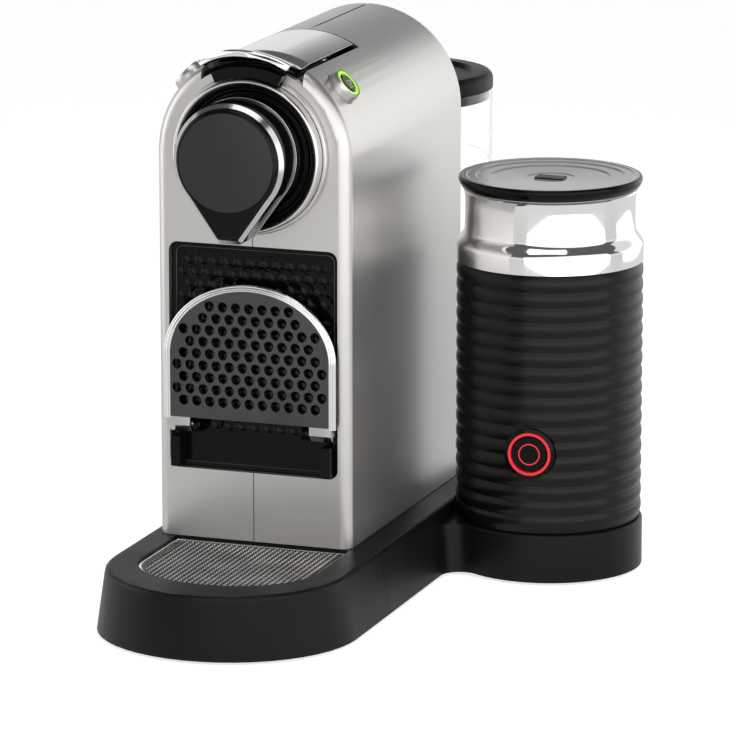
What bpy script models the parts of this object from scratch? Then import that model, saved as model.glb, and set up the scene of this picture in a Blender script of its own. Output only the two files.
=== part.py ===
"""Pod coffee machine with a clip-on milk frother.

Metres, +Z up. The machine faces -Y. Shapes are laid out in the machine's own
plan: x = 0 on the body's centre line, y = 0 on the body's front face, z = 0 on
the table. One empty carries everything to the centre of the machine's box.
"""

from math import asin, cos, pi, radians, sin, sqrt

import bmesh
import bpy
from mathutils import Matrix, Vector

# --- Driving dimensions ---

GAP = 0.0003  # between pieces that touch
WALL = 0.0025  # moulded walls

# Body casing
BODY_HALF = 0.0505  # half width, and the radius of the crown
BODY_LENGTH = 0.170
CROWN_Z = 0.2270  # centre of the crown's arc
BODY_EDGE = 0.0055  # rounding of the front edge
REAR_EDGE = 0.0015
FRONT_WALL = 0.004
SEAM_HALF = 0.0002
GROOVE_HALF = 0.00065
GROOVE_START_Y = 0.089

# Base
BASE_TOP = 0.033
BASE_BOTTOM = 0.0015
BASE_HALF = 0.0655  # at the table
BASE_MID_X = 0.0045  # the base stands this far towards the frother
BASE_DRAFT = 0.0045  # how far the sides lean in
NOSE_LEAN = 0.45  # share of that draft at the front
BASE_EDGE = 0.0025
BASE_NOSE_Y = -0.045  # centre of the front's half ellipse
BASE_NOSE = 0.0628
SEAM_Y = 0.004  # between the tray and the plinth
TRAY_GAP = 0.0004
FOOT_RADIUS = 0.007
FOOT_SPREAD = 0.042
FOOT_FRONT_Y = 0.025
FOOT_REAR_Y = 0.235
FOOT_REAR_SPREAD = 0.028
TRAY_FOOT_SPREAD = 0.033
TRAY_FOOT_Y = -0.065

# Drip tray and grid
GRID_HALF = 0.0455
GRID_NOSE = 0.038
GRID_REAR_Y = -0.0006
GRID_THICK = 0.0016
GRID_DROP = 0.0012  # below the tray's top
TRAY_LEDGE = 0.003
TRAY_FLOOR = 0.0055
TRAY_TRAVEL = 0.12

# Panel and used pod container
PANEL_HALF = 0.0438
PANEL_LOW = 0.0685
PANEL_HIGH = 0.1820
PANEL_CORNER = 0.0045
PANEL_RECESS = 0.0035
PANEL_THICK = 0.003
BIN_HALF = 0.041
BIN_LENGTH = 0.093
BIN_HEIGHT = 0.058
BIN_WALL = 0.002

# Cup support
CUP_PIVOT_Y = -0.001
CUP_PIVOT_Z = 0.091
CUP_HALF = 0.045
CUP_SPRING_Z = 0.127
CUP_TOP_Z = 0.164
CUP_THICK = 0.0024
CUP_OFFSET = 0.004  # of the plate's middle in front of its pivot
BARREL_RADIUS = 0.0035
BARREL_LOW = 0.031
BARREL_HIGH = 0.043
HINGE_PIN_RADIUS = 0.0016
LUG_LOW = 0.0265
LUG_HIGH = 0.0303
RIB_LOW = 0.037
RIB_HIGH = 0.042

# Brewing head
HEAD_Z = 0.2285
BEZEL_RADIUS = 0.038
BEZEL_INNER = 0.0338
BEZEL_FRONT_Y = -0.010
BEZEL_BACK_Y = 0.0075
TRIM_OUTER = 0.0397
TRIM_FRONT_Y = -0.0035
OUTLET_RADIUS = 0.0288
OUTLET_Z = 0.2285
OUTLET_TIP_Z = 0.1895
OUTLET_TIP_HALF = 0.0075
OUTLET_FRONT_Y = -0.038
OUTLET_BACK_Y = -0.014
OUTLET_NECK = 0.024
SPOUT_RADIUS = 0.003

# Lever
LEVER_HALF = 0.024
LEVER_THICK = 0.0035
LEVER_FRONT_Y = -0.0175
LEVER_REAR_Y = 0.080
LIP_RISE = 0.0050
LIP_CORNER = 0.7  # share of that rise at the lip's corners
LIP_LENGTH = 0.017
LIP_BOW = 0.0065  # how far the lip's corners stand behind its middle
SADDLE_DIP = 0.0011
LEVER_GAP = 0.0025  # beside the lever
PIVOT_Y = 0.060
PIVOT_Z = 0.260
PIN_RADIUS = 0.0025
EAR_LOW = 0.0165
EAR_HIGH = 0.0195
EAR_RADIUS = 0.0058
CRANK = 0.014
CRANK_SWING = radians(40)  # each side of straight down
COLLAR_INNER = 0.0400
COLLAR_OUTER = 0.0455
COLLAR_ANGLE = radians(24)

# Brew group
CHAMBER_RADIUS = 0.020
CHAMBER_FRONT_Y = 0.022
CHAMBER_LENGTH = 0.018
CHAMBER_BORE = 0.0155
CHAMBER_DEPTH = 0.014
ARM_LOW = 0.0203
ARM_HIGH = 0.0233
SLOT_PLAY = 0.0006
FRAME_LOW = 0.025
FRAME_HIGH = 0.028
FRAME_FRONT_Y = 0.010
FRAME_REAR_Y = 0.088
INJECTOR_RADIUS = 0.015
POD_HALF = 0.0195
POD_FRONT_Y = 0.020
POD_REAR_Y = 0.0435

# Chassis inside the casing
CHASSIS_HALF = 0.0473
CHASSIS_WALL = 0.0033
CHASSIS_SHELF = 0.0695
CHASSIS_TOP = 0.196
CHASSIS_FRONT_Y = 0.0085
CHASSIS_REAR_Y = 0.128

# Shoulder buttons
BUTTON_ANGLE = radians(50)
BUTTON_Y = 0.0215
BUTTON_RADIUS = 0.0052
BUTTON_HEIGHT = 0.0050  # of the boss above the casing
BUTTON_TRAVEL = 0.0015
BOSS_RADIUS = 0.0085
LIGHT_WIDTH = 0.0013

# Water tank
TANK_Y = 0.222
TANK_RADIUS = 0.0475
TANK_WALL = 0.0024
TANK_TOP = 0.2257
LID_RADIUS = 0.0478
LID_TOP = 0.2345
LID_BOTTOM = 0.2262
LID_EDGE = 0.004
PLUG_DEPTH = 0.006
STUB_RADIUS = 0.0065

# Milk frother
FROTHER_X = 0.111
FROTHER_Y = 0.131
PEDESTAL_RADIUS = 0.048
PEDESTAL_TOP = 0.026
NECK_FILLET = 0.010
SLEEVE_RADIUS = 0.0473
SLEEVE_WALL = 0.0033
SLEEVE_TOP = 0.1588
JUG_WALL = 0.0015
JUG_BOTTOM = 0.035
COLLAR_BAND_Z = 0.1635
NECK_RADIUS = 0.043
NECK_LOW_Z = 0.1725
NECK_HIGH_Z = 0.1925
RIM_Z = 0.1950
RIM_RADIUS = 0.0438
FROTHER_LID_TOP = 0.2020
FROTHER_LID_RADIUS = 0.0465
FROTHER_BUTTON_Z = 0.068
FROTHER_BUTTON_TURN = radians(6)
HOUSING_RADIUS = 0.013
FROTHER_CAP_RADIUS = 0.009
WHISK_RADIUS = 0.012
HUB_RADIUS = 0.020

# Derived places
MIDDLE_X = (FROTHER_X + PEDESTAL_RADIUS - BASE_HALF + BASE_MID_X) / 2
MIDDLE_Y = (TANK_Y + LID_RADIUS + BASE_NOSE_Y - BASE_NOSE) / 2
SHELL_BOTTOM = BASE_TOP + GAP
CUP_Y = CUP_PIVOT_Y - CUP_OFFSET
PANEL_REAR_Y = PANEL_RECESS + PANEL_THICK
BIN_LOW_Z = CHASSIS_SHELF + 2 * GAP
PUMP_LOW = BASE_TOP + 0.001
CRANK_Y = PIVOT_Y + CRANK * sin(CRANK_SWING)
CRANK_Z = PIVOT_Z - CRANK * cos(CRANK_SWING)

COLOURS = {
    "silver_casing": ((0.55, 0.53, 0.51), 0.32, 0.9),
    "black_matte": ((0.018, 0.018, 0.019), 0.5, 0.0),
    "black_gloss": ((0.006, 0.006, 0.007), 0.08, 0.0),
    "chrome": ((0.82, 0.82, 0.83), 0.07, 1.0),
    "clear_plastic": ((0.92, 0.94, 0.95), 0.03, 0.0),
    "smoke_plastic": ((0.35, 0.35, 0.36), 0.05, 0.0),
    "dark_metal": ((0.10, 0.10, 0.11), 0.3, 1.0),
    "stainless": ((0.6, 0.6, 0.6), 0.25, 1.0),
    "aluminium": ((0.7, 0.7, 0.7), 0.4, 1.0),
    "rubber": ((0.02, 0.02, 0.02), 0.8, 0.0),
    "silicone": ((0.75, 0.75, 0.73), 0.5, 0.0),
    "board_green": ((0.02, 0.2, 0.07), 0.4, 0.0),
    "glow_green": ((0.35, 0.9, 0.05), 0.3, 0.0),
    "glow_red": ((0.9, 0.05, 0.02), 0.3, 0.0),
}

for old in list(bpy.data.objects):
    bpy.data.objects.remove(old)


def new_collection(name):
    collection = bpy.data.collections.new(name)
    bpy.context.scene.collection.children.link(collection)
    return collection


PARTS = new_collection("pod_coffee_machine")
CUTTERS = new_collection("cutters")
ORIGIN = bpy.data.objects.new("machine_origin", None)
ORIGIN.location = (-MIDDLE_X, -MIDDLE_Y, 0)
PARTS.objects.link(ORIGIN)
MATERIALS = {}

# --- Shape helpers ---


def material(slot):
    if slot not in MATERIALS:
        colour, roughness, metallic = COLOURS[slot]
        made = bpy.data.materials.new(slot)
        made.use_nodes = True
        shader = made.node_tree.nodes["Principled BSDF"]
        shader.inputs["Base Color"].default_value = (*colour, 1)
        shader.inputs["Roughness"].default_value = roughness
        shader.inputs["Metallic"].default_value = metallic
        MATERIALS[slot] = made
    return MATERIALS[slot]


def new_object(name, mesh, slot, pivot=(0, 0, 0)):
    """The mesh, laid out in the machine's plan, as an object whose origin is the pivot."""
    mesh.transform(Matrix.Translation(-Vector(pivot)))
    made = bpy.data.objects.new(name, mesh)
    made.location = pivot
    made.parent = ORIGIN
    PARTS.objects.link(made)
    if slot:
        mesh.materials.append(material(slot))
        mesh.shade_smooth()
        mesh.set_sharp_from_angle(angle=radians(35))
    return made


def as_cutter(made):
    made.hide_render = True
    made.display_type = "WIRE"
    if made.name in PARTS.objects:
        PARTS.objects.unlink(made)
        CUTTERS.objects.link(made)


def combine(target, others, operation):
    for other in others:
        as_cutter(other)
        step = target.modifiers.new(operation.lower(), "BOOLEAN")
        step.operation = operation
        step.object = other
        step.solver = "EXACT"
    return target


def cut(target, *others):
    return combine(target, others, "DIFFERENCE")


def join(target, *others):
    return combine(target, others, "UNION")


def rounded(made, width, segments=3, angle=35):
    step = made.modifiers.new("rounded_edges", "BEVEL")
    step.width = width
    step.segments = segments
    step.limit_method = "ANGLE"
    step.angle_limit = radians(angle)
    step.use_clamp_overlap = True
    return made


def mesh_of(work):
    mesh = bpy.data.meshes.new("shape")
    work.to_mesh(mesh)
    work.free()
    return mesh


def box(name, slot, low, high, pivot=(0, 0, 0)):
    work = bmesh.new()
    bmesh.ops.create_cube(work, size=1)
    low = Vector(low)
    high = Vector(high)
    size = high - low
    for vertex in work.verts:
        spread = Vector([vertex.co[i] * size[i] for i in range(3)])
        vertex.co = spread + (low + high) / 2
    return new_object(name, mesh_of(work), slot, pivot)


def rod(name, slot, start, end, radius, sides=32, pivot=(0, 0, 0)):
    """A cylinder from start to end."""
    start = Vector(start)
    end = Vector(end)
    along = end - start
    work = bmesh.new()
    bmesh.ops.create_cone(
        work, cap_ends=True, segments=sides, radius1=radius, radius2=radius, depth=along.length
    )
    turn = Vector((0, 0, 1)).rotation_difference(along).to_matrix().to_4x4()
    work.transform(Matrix.Translation((start + end) / 2) @ turn)
    return new_object(name, mesh_of(work), slot, pivot)


LIE = {
    "x": Matrix(((0, 0, 1, 0), (1, 0, 0, 0), (0, 1, 0, 0), (0, 0, 0, 1))),
    "y": Matrix(((1, 0, 0, 0), (0, 0, -1, 0), (0, 1, 0, 0), (0, 0, 0, 1))),
    "z": Matrix.Identity(4),
}


def slab(name, slot, axis, low, high, loops, pivot=(0, 0, 0)):
    """A flat outline, with any holes as further loops, extruded along an axis.

    Points are (y, z) for axis x, (x, z) for axis y and (x, y) for axis z.
    """
    curve = bpy.data.curves.new("outline", "CURVE")
    curve.dimensions = "2D"
    curve.fill_mode = "BOTH"
    curve.extrude = (high - low) / 2
    for loop in loops:
        spline = curve.splines.new("POLY")
        spline.points.add(len(loop) - 1)
        spline.use_cyclic_u = True
        for point, (across, up) in zip(spline.points, loop):
            point.co = (across, up, 0, 1)
    drawn = bpy.data.objects.new("outline", curve)
    PARTS.objects.link(drawn)
    graph = bpy.context.evaluated_depsgraph_get()
    mesh = bpy.data.meshes.new_from_object(drawn.evaluated_get(graph))
    bpy.data.objects.remove(drawn)
    work = bmesh.new()
    work.from_mesh(mesh)
    bmesh.ops.remove_doubles(work, verts=work.verts, dist=1e-6)
    bmesh.ops.recalc_face_normals(work, faces=work.faces)
    work.to_mesh(mesh)
    work.free()
    shift = Vector([(low + high) / 2 if axis == name_of else 0 for name_of in "xyz"])
    mesh.transform(Matrix.Translation(shift) @ LIE[axis])
    return new_object(name, mesh, slot, pivot)


def turned(name, slot, profile, at=(0, 0, 0), towards=(0, 0, 1), steps=64, ring=False):
    """A profile of (radius, height), down its outer side, turned about an axis through at."""
    mesh = bpy.data.meshes.new("profile")
    points = [(radius, 0, height) for radius, height in profile]
    edges = [(i, i + 1) for i in range(len(points) - 1)]
    if ring:
        edges.append((len(points) - 1, 0))
    mesh.from_pydata(points, edges, [])
    made = new_object(name, mesh, None)
    mesh.materials.append(material(slot or "black_matte"))
    made.location = at
    made.rotation_mode = "QUATERNION"
    made.rotation_quaternion = Vector((0, 0, 1)).rotation_difference(Vector(towards))
    screw = made.modifiers.new("turn", "SCREW")
    screw.steps = steps
    screw.render_steps = steps
    screw.use_merge_vertices = True
    screw.merge_threshold = 1e-6
    screw.use_smooth_shade = True
    return made


def lofted(name, slot, rings, pivot=(0, 0, 0)):
    """A closed solid through rings of points, all with the same number of points."""
    work = bmesh.new()
    rows = [[work.verts.new(point) for point in ring] for ring in rings]
    count = len(rows[0])
    for lower, upper in zip(rows, rows[1:]):
        for i in range(count):
            after = (i + 1) % count
            work.faces.new((lower[i], lower[after], upper[after], upper[i]))
    work.faces.new(list(reversed(rows[0])))
    work.faces.new(rows[-1])
    bmesh.ops.recalc_face_normals(work, faces=work.faces)
    return new_object(name, mesh_of(work), slot, pivot)


def hose(name, slot, points, radius):
    curve = bpy.data.curves.new(name, "CURVE")
    curve.dimensions = "3D"
    curve.bevel_depth = radius
    curve.bevel_resolution = 2
    curve.use_fill_caps = True
    spline = curve.splines.new("POLY")
    spline.points.add(len(points) - 1)
    for point, place in zip(spline.points, points):
        point.co = (*place, 1)
    made = bpy.data.objects.new(name, curve)
    made.parent = ORIGIN
    PARTS.objects.link(made)
    curve.materials.append(material(slot))
    return made


# --- Outline helpers ---


def arc(across, up, radius, start, end, count, other_radius=None):
    """Points on an arc or, with another radius, on part of an ellipse. Angles in degrees."""
    tall = other_radius if other_radius is not None else radius
    turns = [radians(start + (end - start) * i / count) for i in range(count + 1)]
    return [(across + radius * cos(turn), up + tall * sin(turn)) for turn in turns]


def rounded_rectangle(left, bottom, right, top, corner, count=4):
    corners = (
        (right - corner, top - corner, 0),
        (left + corner, top - corner, 90),
        (left + corner, bottom + corner, 180),
        (right - corner, bottom + corner, 270),
    )
    loop = []
    for across, up, start in corners:
        loop += arc(across, up, corner, start, start + 90, count)
    return loop


def circle(across, up, radius, count=32):
    return arc(across, up, radius, 0, 360, count)[:-1]


def arch(half, bottom, count=32):
    """The casing's section: straight sides under a half round crown."""
    return [(half, bottom), *arc(0, CROWN_Z, half, 0, 180, count), (-half, bottom)]


def sector(inner, outer, spread, count=12):
    """A band of the crown between two radii, to each side of straight up, in degrees."""
    return [
        *arc(0, CROWN_Z, outer, 90 - spread, 90 + spread, count),
        *arc(0, CROWN_Z, inner, 90 + spread, 90 - spread, count),
    ]


def d_shape(half, nose, rear, count=24):
    """A rounded nose at the front and straight sides back to the rear."""
    mid = BASE_MID_X
    nose_arc = arc(mid, BASE_NOSE_Y, half, 0, -180, count, nose)
    return [(mid + half, rear), *nose_arc, (mid - half, rear)]


# --- Base ---


def base_levels(inset=0.0, top=BASE_TOP, bottom=BASE_BOTTOM):
    """Heights of the drafted side and its rounded top edge, with how far each is set in."""
    levels = [(bottom, inset), (top - BASE_EDGE, inset + BASE_DRAFT)]
    for turn in (30, 60, 90):
        rise = BASE_EDGE * sin(radians(turn))
        draw = BASE_EDGE * (1 - cos(radians(turn)))
        levels.append((top - BASE_EDGE + rise, inset + BASE_DRAFT + draw))
    return levels


def tray_rings(rear):
    rings = []
    for height, inset in base_levels():
        loop = d_shape(BASE_HALF - inset, BASE_NOSE - inset * NOSE_LEAN, rear)
        rings.append([(x, y, height) for x, y in loop])
    return rings


def plinth_outline(inset, front):
    """From the tray seam straight back, then in to a half circle round the tank."""
    half = BASE_HALF - inset
    tail = LID_RADIUS - inset / 2
    right = plinth_side(BASE_MID_X + half, tail, front)
    left = plinth_side(BASE_MID_X - half, -tail, front)
    back = arc(0, TANK_Y, tail, 0, 180, 24)[1:]
    return [*right, *back, *reversed(left[:-1])]


def plinth_side(x, tail_x, front, count=8):
    side = [(x, front)]
    for i in range(count + 1):
        share = i / count
        ease = (1 - cos(pi * share)) / 2
        side.append((x + (tail_x - x) * ease, BODY_LENGTH + (TANK_Y - BODY_LENGTH) * share))
    return side


def neck_outline(side_x, wall=0.0):
    """The web between the plinth's side and the pedestal, with a concave fillet at each end.

    A wall draws it that much narrower, for the hollow inside.
    """
    reach = PEDESTAL_RADIUS + NECK_FILLET
    centre_x = side_x + NECK_FILLET
    rise = sqrt(reach**2 - (FROTHER_X - centre_x) ** 2)
    turn = 180 / pi * asin(rise / reach)
    bend = NECK_FILLET + wall
    front = arc(centre_x, FROTHER_Y - rise, bend, 180, turn, 8)
    rear = arc(centre_x, FROTHER_Y + rise, bend, -turn, -180, 8)
    inside = side_x - 0.02
    return [(inside, FROTHER_Y - rise), *front, *rear, (inside, FROTHER_Y + rise)]


def pedestal_profile(radius, low, high, edge):
    corner = [
        (radius - edge + edge * sin(radians(a)), high - edge + edge * cos(radians(a)))
        for a in (0, 30, 60, 90)
    ]
    return [(0, high), *corner, (radius, low), (0, low)]


def base_plinth():
    front = SEAM_Y + TRAY_GAP
    rings = [
        [(x, y, height) for x, y in plinth_outline(inset, front)]
        for height, inset in base_levels()
    ]
    plinth = lofted("base_plinth", "black_matte", rings)
    neck_levels = ((BASE_BOTTOM, 0.0), (PEDESTAL_TOP - GAP, BASE_DRAFT * 0.85))
    neck_rings = [
        [(x, y, height) for x, y in neck_outline(BASE_MID_X + BASE_HALF - inset)]
        for height, inset in neck_levels
    ]
    neck = lofted("plinth_neck", None, neck_rings)
    profile = pedestal_profile(PEDESTAL_RADIUS, BASE_BOTTOM, PEDESTAL_TOP, 0.0015)
    pedestal = turned("plinth_pedestal", None, profile, at=(FROTHER_X, FROTHER_Y, 0))
    join(plinth, neck, pedestal)
    inner = BASE_DRAFT + WALL + BASE_EDGE
    hollow_loop = plinth_outline(inner, front + WALL)
    hollow = slab("plinth_hollow", None, "z", -0.01, BASE_TOP - WALL, [hollow_loop])
    well = rod(
        "pedestal_hollow",
        None,
        (FROTHER_X, FROTHER_Y, -0.01),
        (FROTHER_X, FROTHER_Y, PEDESTAL_TOP - WALL),
        PEDESTAL_RADIUS - WALL,
        48,
    )
    neck_loop = neck_outline(BASE_MID_X + BASE_HALF - BASE_DRAFT, 2 * WALL)
    duct = slab("neck_hollow", None, "z", -0.01, PEDESTAL_TOP - 2 * WALL, [neck_loop])
    seat = rod("valve_hole", None, (0, TANK_Y, 0.02), (0, TANK_Y, 0.04), 0.012 + GAP)
    scallop = rod(
        "sleeve_scallop",
        None,
        (FROTHER_X, FROTHER_Y, PEDESTAL_TOP),
        (FROTHER_X, FROTHER_Y, BASE_TOP + 0.01),
        SLEEVE_RADIUS + 3 * GAP,
        64,
    )
    return cut(plinth, hollow, well, duct, seat, scallop)


def base_plate():
    inner = BASE_DRAFT + WALL + BASE_EDGE + GAP
    loop = plinth_outline(inner, SEAM_Y + TRAY_GAP + WALL + GAP)
    return slab("base_plate", "black_matte", "z", BASE_BOTTOM, BASE_BOTTOM + 0.002, [loop])


def foot(name, x, y, top):
    profile = [(0, top), (FOOT_RADIUS, top), (FOOT_RADIUS, 0), (0, 0)]
    return turned(name, "rubber", profile, at=(x, y, 0), steps=24)


def feet():
    low = BASE_BOTTOM - GAP
    foot("foot_front_left", BASE_MID_X - FOOT_SPREAD, FOOT_FRONT_Y, low)
    foot("foot_front_right", BASE_MID_X + FOOT_SPREAD, FOOT_FRONT_Y, low)
    foot("foot_rear_left", -FOOT_REAR_SPREAD, FOOT_REAR_Y, low)
    foot("foot_rear_right", FOOT_REAR_SPREAD, FOOT_REAR_Y, low)
    rim = PEDESTAL_RADIUS - WALL - FOOT_RADIUS - GAP
    foot("foot_frother", FROTHER_X + rim, FROTHER_Y, PEDESTAL_TOP - WALL - GAP)
    foot("tray_foot_left", BASE_MID_X - TRAY_FOOT_SPREAD, TRAY_FOOT_Y, low)
    foot("tray_foot_right", BASE_MID_X + TRAY_FOOT_SPREAD, TRAY_FOOT_Y, low)


def drip_tray():
    tray = lofted("drip_tray", "black_matte", tray_rings(SEAM_Y))
    recess_loop = d_shape(GRID_HALF + GAP, GRID_NOSE + GAP, GRID_REAR_Y + GAP)
    low = BASE_TOP - GRID_DROP - GRID_THICK - GAP
    recess = slab("grid_recess", None, "z", low, 0.05, [recess_loop])
    basin_loop = d_shape(
        GRID_HALF - TRAY_LEDGE, GRID_NOSE - TRAY_LEDGE, GRID_REAR_Y - TRAY_LEDGE
    )
    basin = slab("tray_basin", None, "z", TRAY_FLOOR, 0.04, [basin_loop])
    return cut(tray, recess, basin)


def drip_grid():
    high = BASE_TOP - GRID_DROP
    loop = d_shape(GRID_HALF, GRID_NOSE, GRID_REAR_Y)
    slots = []
    for row in range(7):
        y = -0.012 - row * 0.0095
        half = GRID_HALF - 0.009
        if y < BASE_NOSE_Y:
            share = (BASE_NOSE_Y - y) / (GRID_NOSE - 0.004)
            half = (GRID_HALF - 0.009) * sqrt(max(0.0, 1 - share**2))
        left = BASE_MID_X - half
        right = BASE_MID_X + half
        slots.append(rounded_rectangle(left, y - 0.0011, right, y + 0.0011, 0.001, 2))
    return slab("drip_grid", "stainless", "z", high - GRID_THICK, high, [loop, *slots])


# --- Casing ---


def lever_opening():
    """What the casing leaves out for the lever, its sides and the arc its rear edge sweeps."""
    half = LEVER_HALF + LEVER_GAP
    inner = 0.045
    top = CROWN_Z + BODY_HALF + 0.01
    spread = 180 / pi * asin(half / inner)
    loop = [(half, top), *reversed_arc(inner, spread), (-half, top)]
    front = slab("lever_opening", None, "y", -0.02, PIVOT_Y, [loop])
    profile = []
    for i in range(13):
        across = half - 2 * half * i / 12
        rise = CROWN_Z + sqrt(BODY_HALF**2 - across**2) - PIVOT_Z
        reach = sqrt((LEVER_REAR_Y - PIVOT_Y) ** 2 + rise**2) + 0.0005
        profile.append((reach, across))
    profile = [(0, half), *profile, (0, -half)]
    sweep = turned(
        "lever_sweep", None, profile, at=(0, PIVOT_Y, PIVOT_Z), towards=(1, 0, 0), steps=96
    )
    return front, sweep


def reversed_arc(radius, spread, count=16):
    return arc(0, CROWN_Z, radius, 90 - spread, 90 + spread, count)


def button_direction(side):
    return Vector((side * sin(BUTTON_ANGLE), 0, cos(BUTTON_ANGLE)))


def button_point(side, radius):
    return Vector((0, BUTTON_Y, CROWN_Z)) + button_direction(side) * radius


def casing_cutters():
    inner = slab(
        "casing_hollow", None, "y", FRONT_WALL, BODY_LENGTH + 0.02,
        [arch(BODY_HALF - WALL, 0.0)],
    )
    skirt = box("casing_skirt", None, (-0.08, -0.02, -0.02), (0.08, 0.2, SHELL_BOTTOM))
    head = rod("head_hole", None, (0, -0.02, HEAD_Z), (0, 0.02, HEAD_Z), BEZEL_RADIUS + GAP, 64)
    bay_loop = rounded_rectangle(
        -PANEL_HALF - GAP, PANEL_LOW - GAP, PANEL_HALF + GAP, PANEL_HIGH + GAP, PANEL_CORNER
    )
    bay = slab("panel_bay", None, "y", -0.02, 0.02, [bay_loop])
    groove = box(
        "crown_groove", None,
        (-GROOVE_HALF, GROOVE_START_Y, CROWN_Z), (GROOVE_HALF, 0.2, CROWN_Z + 0.06),
    )
    holes = [
        rod(
            f"boss_hole_{side}", None,
            button_point(side, 0.03), button_point(side, 0.07), BOSS_RADIUS + GAP,
        )
        for side in (-1, 1)
    ]
    return [inner, skirt, head, bay, groove, *lever_opening(), *holes]


def casing_rings(steps=5):
    """The casing's section from front to rear, drawn in round the front edge and a little at the rear."""
    rings = []
    for edge, y, ahead in ((BODY_EDGE, 0.0, 1), (REAR_EDGE, BODY_LENGTH, -1)):
        end = []
        for i in range(steps + 1):
            turn = pi / 2 * i / steps
            inset = edge * (1 - sin(turn))
            place = y + ahead * edge * (1 - cos(turn))
            end.append([(x, place, z) for x, z in arch(BODY_HALF - inset, 0.005)])
        rings += end if ahead > 0 else reversed(end)
    return rings


def casing():
    shared = casing_cutters()
    for name, side in (("body_shell_left", -1), ("body_shell_right", 1)):
        shell = lofted(name, "silver_casing", casing_rings())
        low = min(side * -0.1, side * SEAM_HALF)
        high = max(side * -0.1, side * SEAM_HALF)
        half = box(f"{name}_split", None, (low, -0.1, -0.1), (high, 0.3, 0.4))
        cut(shell, half, *shared)


def rear_panel():
    half = BODY_HALF - WALL - GAP
    panel = slab(
        "rear_panel", "black_matte", "y", BODY_LENGTH - 0.0035, BODY_LENGTH - 0.0005,
        [arch(half, SHELL_BOTTOM + GAP, 24)],
    )
    hole = rod("gland_hole", None, (-0.034, 0.1, 0.043), (-0.034, 0.2, 0.043), 0.005 + GAP)
    cut(panel, hole)
    profile = [
        (0.0075, 0.008), (0.0075, 0.006), (0.005, 0.006), (0.005, -0.006), (0.0025, -0.006),
        (0.0025, 0.008),
    ]
    turned(
        "cord_inlet_gland", "rubber", [(r, h - 0.0057) for r, h in profile],
        at=(-0.034, BODY_LENGTH, 0.043), towards=(0, 1, 0), steps=24, ring=True,
    )


def crown_seam_strip():
    top = CROWN_Z + BODY_HALF - 0.0007
    under = CROWN_Z + BODY_HALF - WALL - 2 * GAP
    web = GROOVE_HALF - GAP
    flange = 0.004
    loop = [
        (web, top), (-web, top), (-web, under), (-flange, under - 0.0003),
        (-flange, under - 0.0018), (flange, under - 0.0018), (flange, under - 0.0003), (web, under),
    ]
    return slab(
        "crown_seam_strip", "black_matte", "y", GROOVE_START_Y + GAP, BODY_LENGTH - 0.004, [loop]
    )


def chassis():
    half = CHASSIS_HALF
    inner = half - CHASSIS_WALL
    low = SHELL_BOTTOM + GAP
    loops = [
        [(half, low), (half, CHASSIS_TOP), (-half, CHASSIS_TOP), (-half, low)],
        [(inner, CHASSIS_SHELF), (inner, CHASSIS_TOP - 0.003),
         (-inner, CHASSIS_TOP - 0.003), (-inner, CHASSIS_SHELF)],
        [(inner, low + 0.003), (inner, CHASSIS_SHELF - 0.004),
         (-inner, CHASSIS_SHELF - 0.004), (-inner, low + 0.003)],
    ]
    frame = slab("chassis", "black_matte", "y", CHASSIS_FRONT_Y, CHASSIS_REAR_Y, loops)
    drop = box(
        "pod_drop", None,
        (-POD_HALF, POD_FRONT_Y, CHASSIS_TOP - 0.01), (POD_HALF, POD_REAR_Y, CHASSIS_TOP + 0.01),
    )
    return cut(frame, drop)


# --- Container, panel and cup support ---


def container_panel():
    loop = rounded_rectangle(-PANEL_HALF, PANEL_LOW, PANEL_HALF, PANEL_HIGH, PANEL_CORNER - GAP)
    panel = slab("container_panel", "black_gloss", "y", PANEL_RECESS, PANEL_REAR_Y, [loop])
    pivot = (CUP_PIVOT_Y, CUP_PIVOT_Z)
    for side in (-1, 1):
        low, high = sorted((side * LUG_LOW, side * LUG_HIGH))
        lug_loop = [
            *arc(*pivot, BARREL_RADIUS, 90, 270, 10),
            (PANEL_REAR_Y - 0.001, CUP_PIVOT_Z - BARREL_RADIUS),
            (PANEL_REAR_Y - 0.001, CUP_PIVOT_Z + BARREL_RADIUS),
        ]
        lug = slab(f"panel_lug_{side}", None, "x", low, high, [lug_loop])
        low, high = sorted((side * RIB_LOW, side * RIB_HIGH))
        top = CUP_PIVOT_Z - CUP_OFFSET - CUP_THICK / 2 - 2 * GAP
        rib = box(f"panel_rib_{side}", None, (low, CUP_Y, PANEL_LOW + 0.001), (high, 0.005, top))
        rounded(rib, 0.0008, 2)
        join(panel, lug, rib)
    bore = rod(
        "lug_bore", None, (-0.05, *pivot), (0.05, *pivot), HINGE_PIN_RADIUS + GAP, 24
    )
    cut(panel, bore)
    for side, name in ((-1, "hinge_pin_left"), (1, "hinge_pin_right")):
        ends = [(side * x, *pivot) for x in (LUG_LOW, BARREL_HIGH)]
        rod(name, "stainless", *ends, HINGE_PIN_RADIUS, 20)
    return panel


def capsule_container():
    front = PANEL_REAR_Y + GAP
    outer = rounded_rectangle(-BIN_HALF, front, BIN_HALF, front + BIN_LENGTH, 0.004)
    inner = rounded_rectangle(
        -BIN_HALF + BIN_WALL, front + BIN_WALL, BIN_HALF - BIN_WALL,
        front + BIN_LENGTH - BIN_WALL, 0.003,
    )
    low = BIN_LOW_Z
    made = slab("capsule_container", "black_matte", "z", low, low + BIN_HEIGHT, [outer])
    hollow = slab("bin_hollow", None, "z", low + BIN_WALL, low + BIN_HEIGHT + 0.02, [inner])
    return cut(made, hollow)


def cup_outline(inset):
    half = CUP_HALF - inset
    tall = CUP_TOP_Z - CUP_SPRING_Z - inset
    low = CUP_PIVOT_Z + 0.003 + inset
    return [(half, low), *arc(0, CUP_SPRING_Z, half, 0, 180, 28, tall), (-half, low)]


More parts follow.
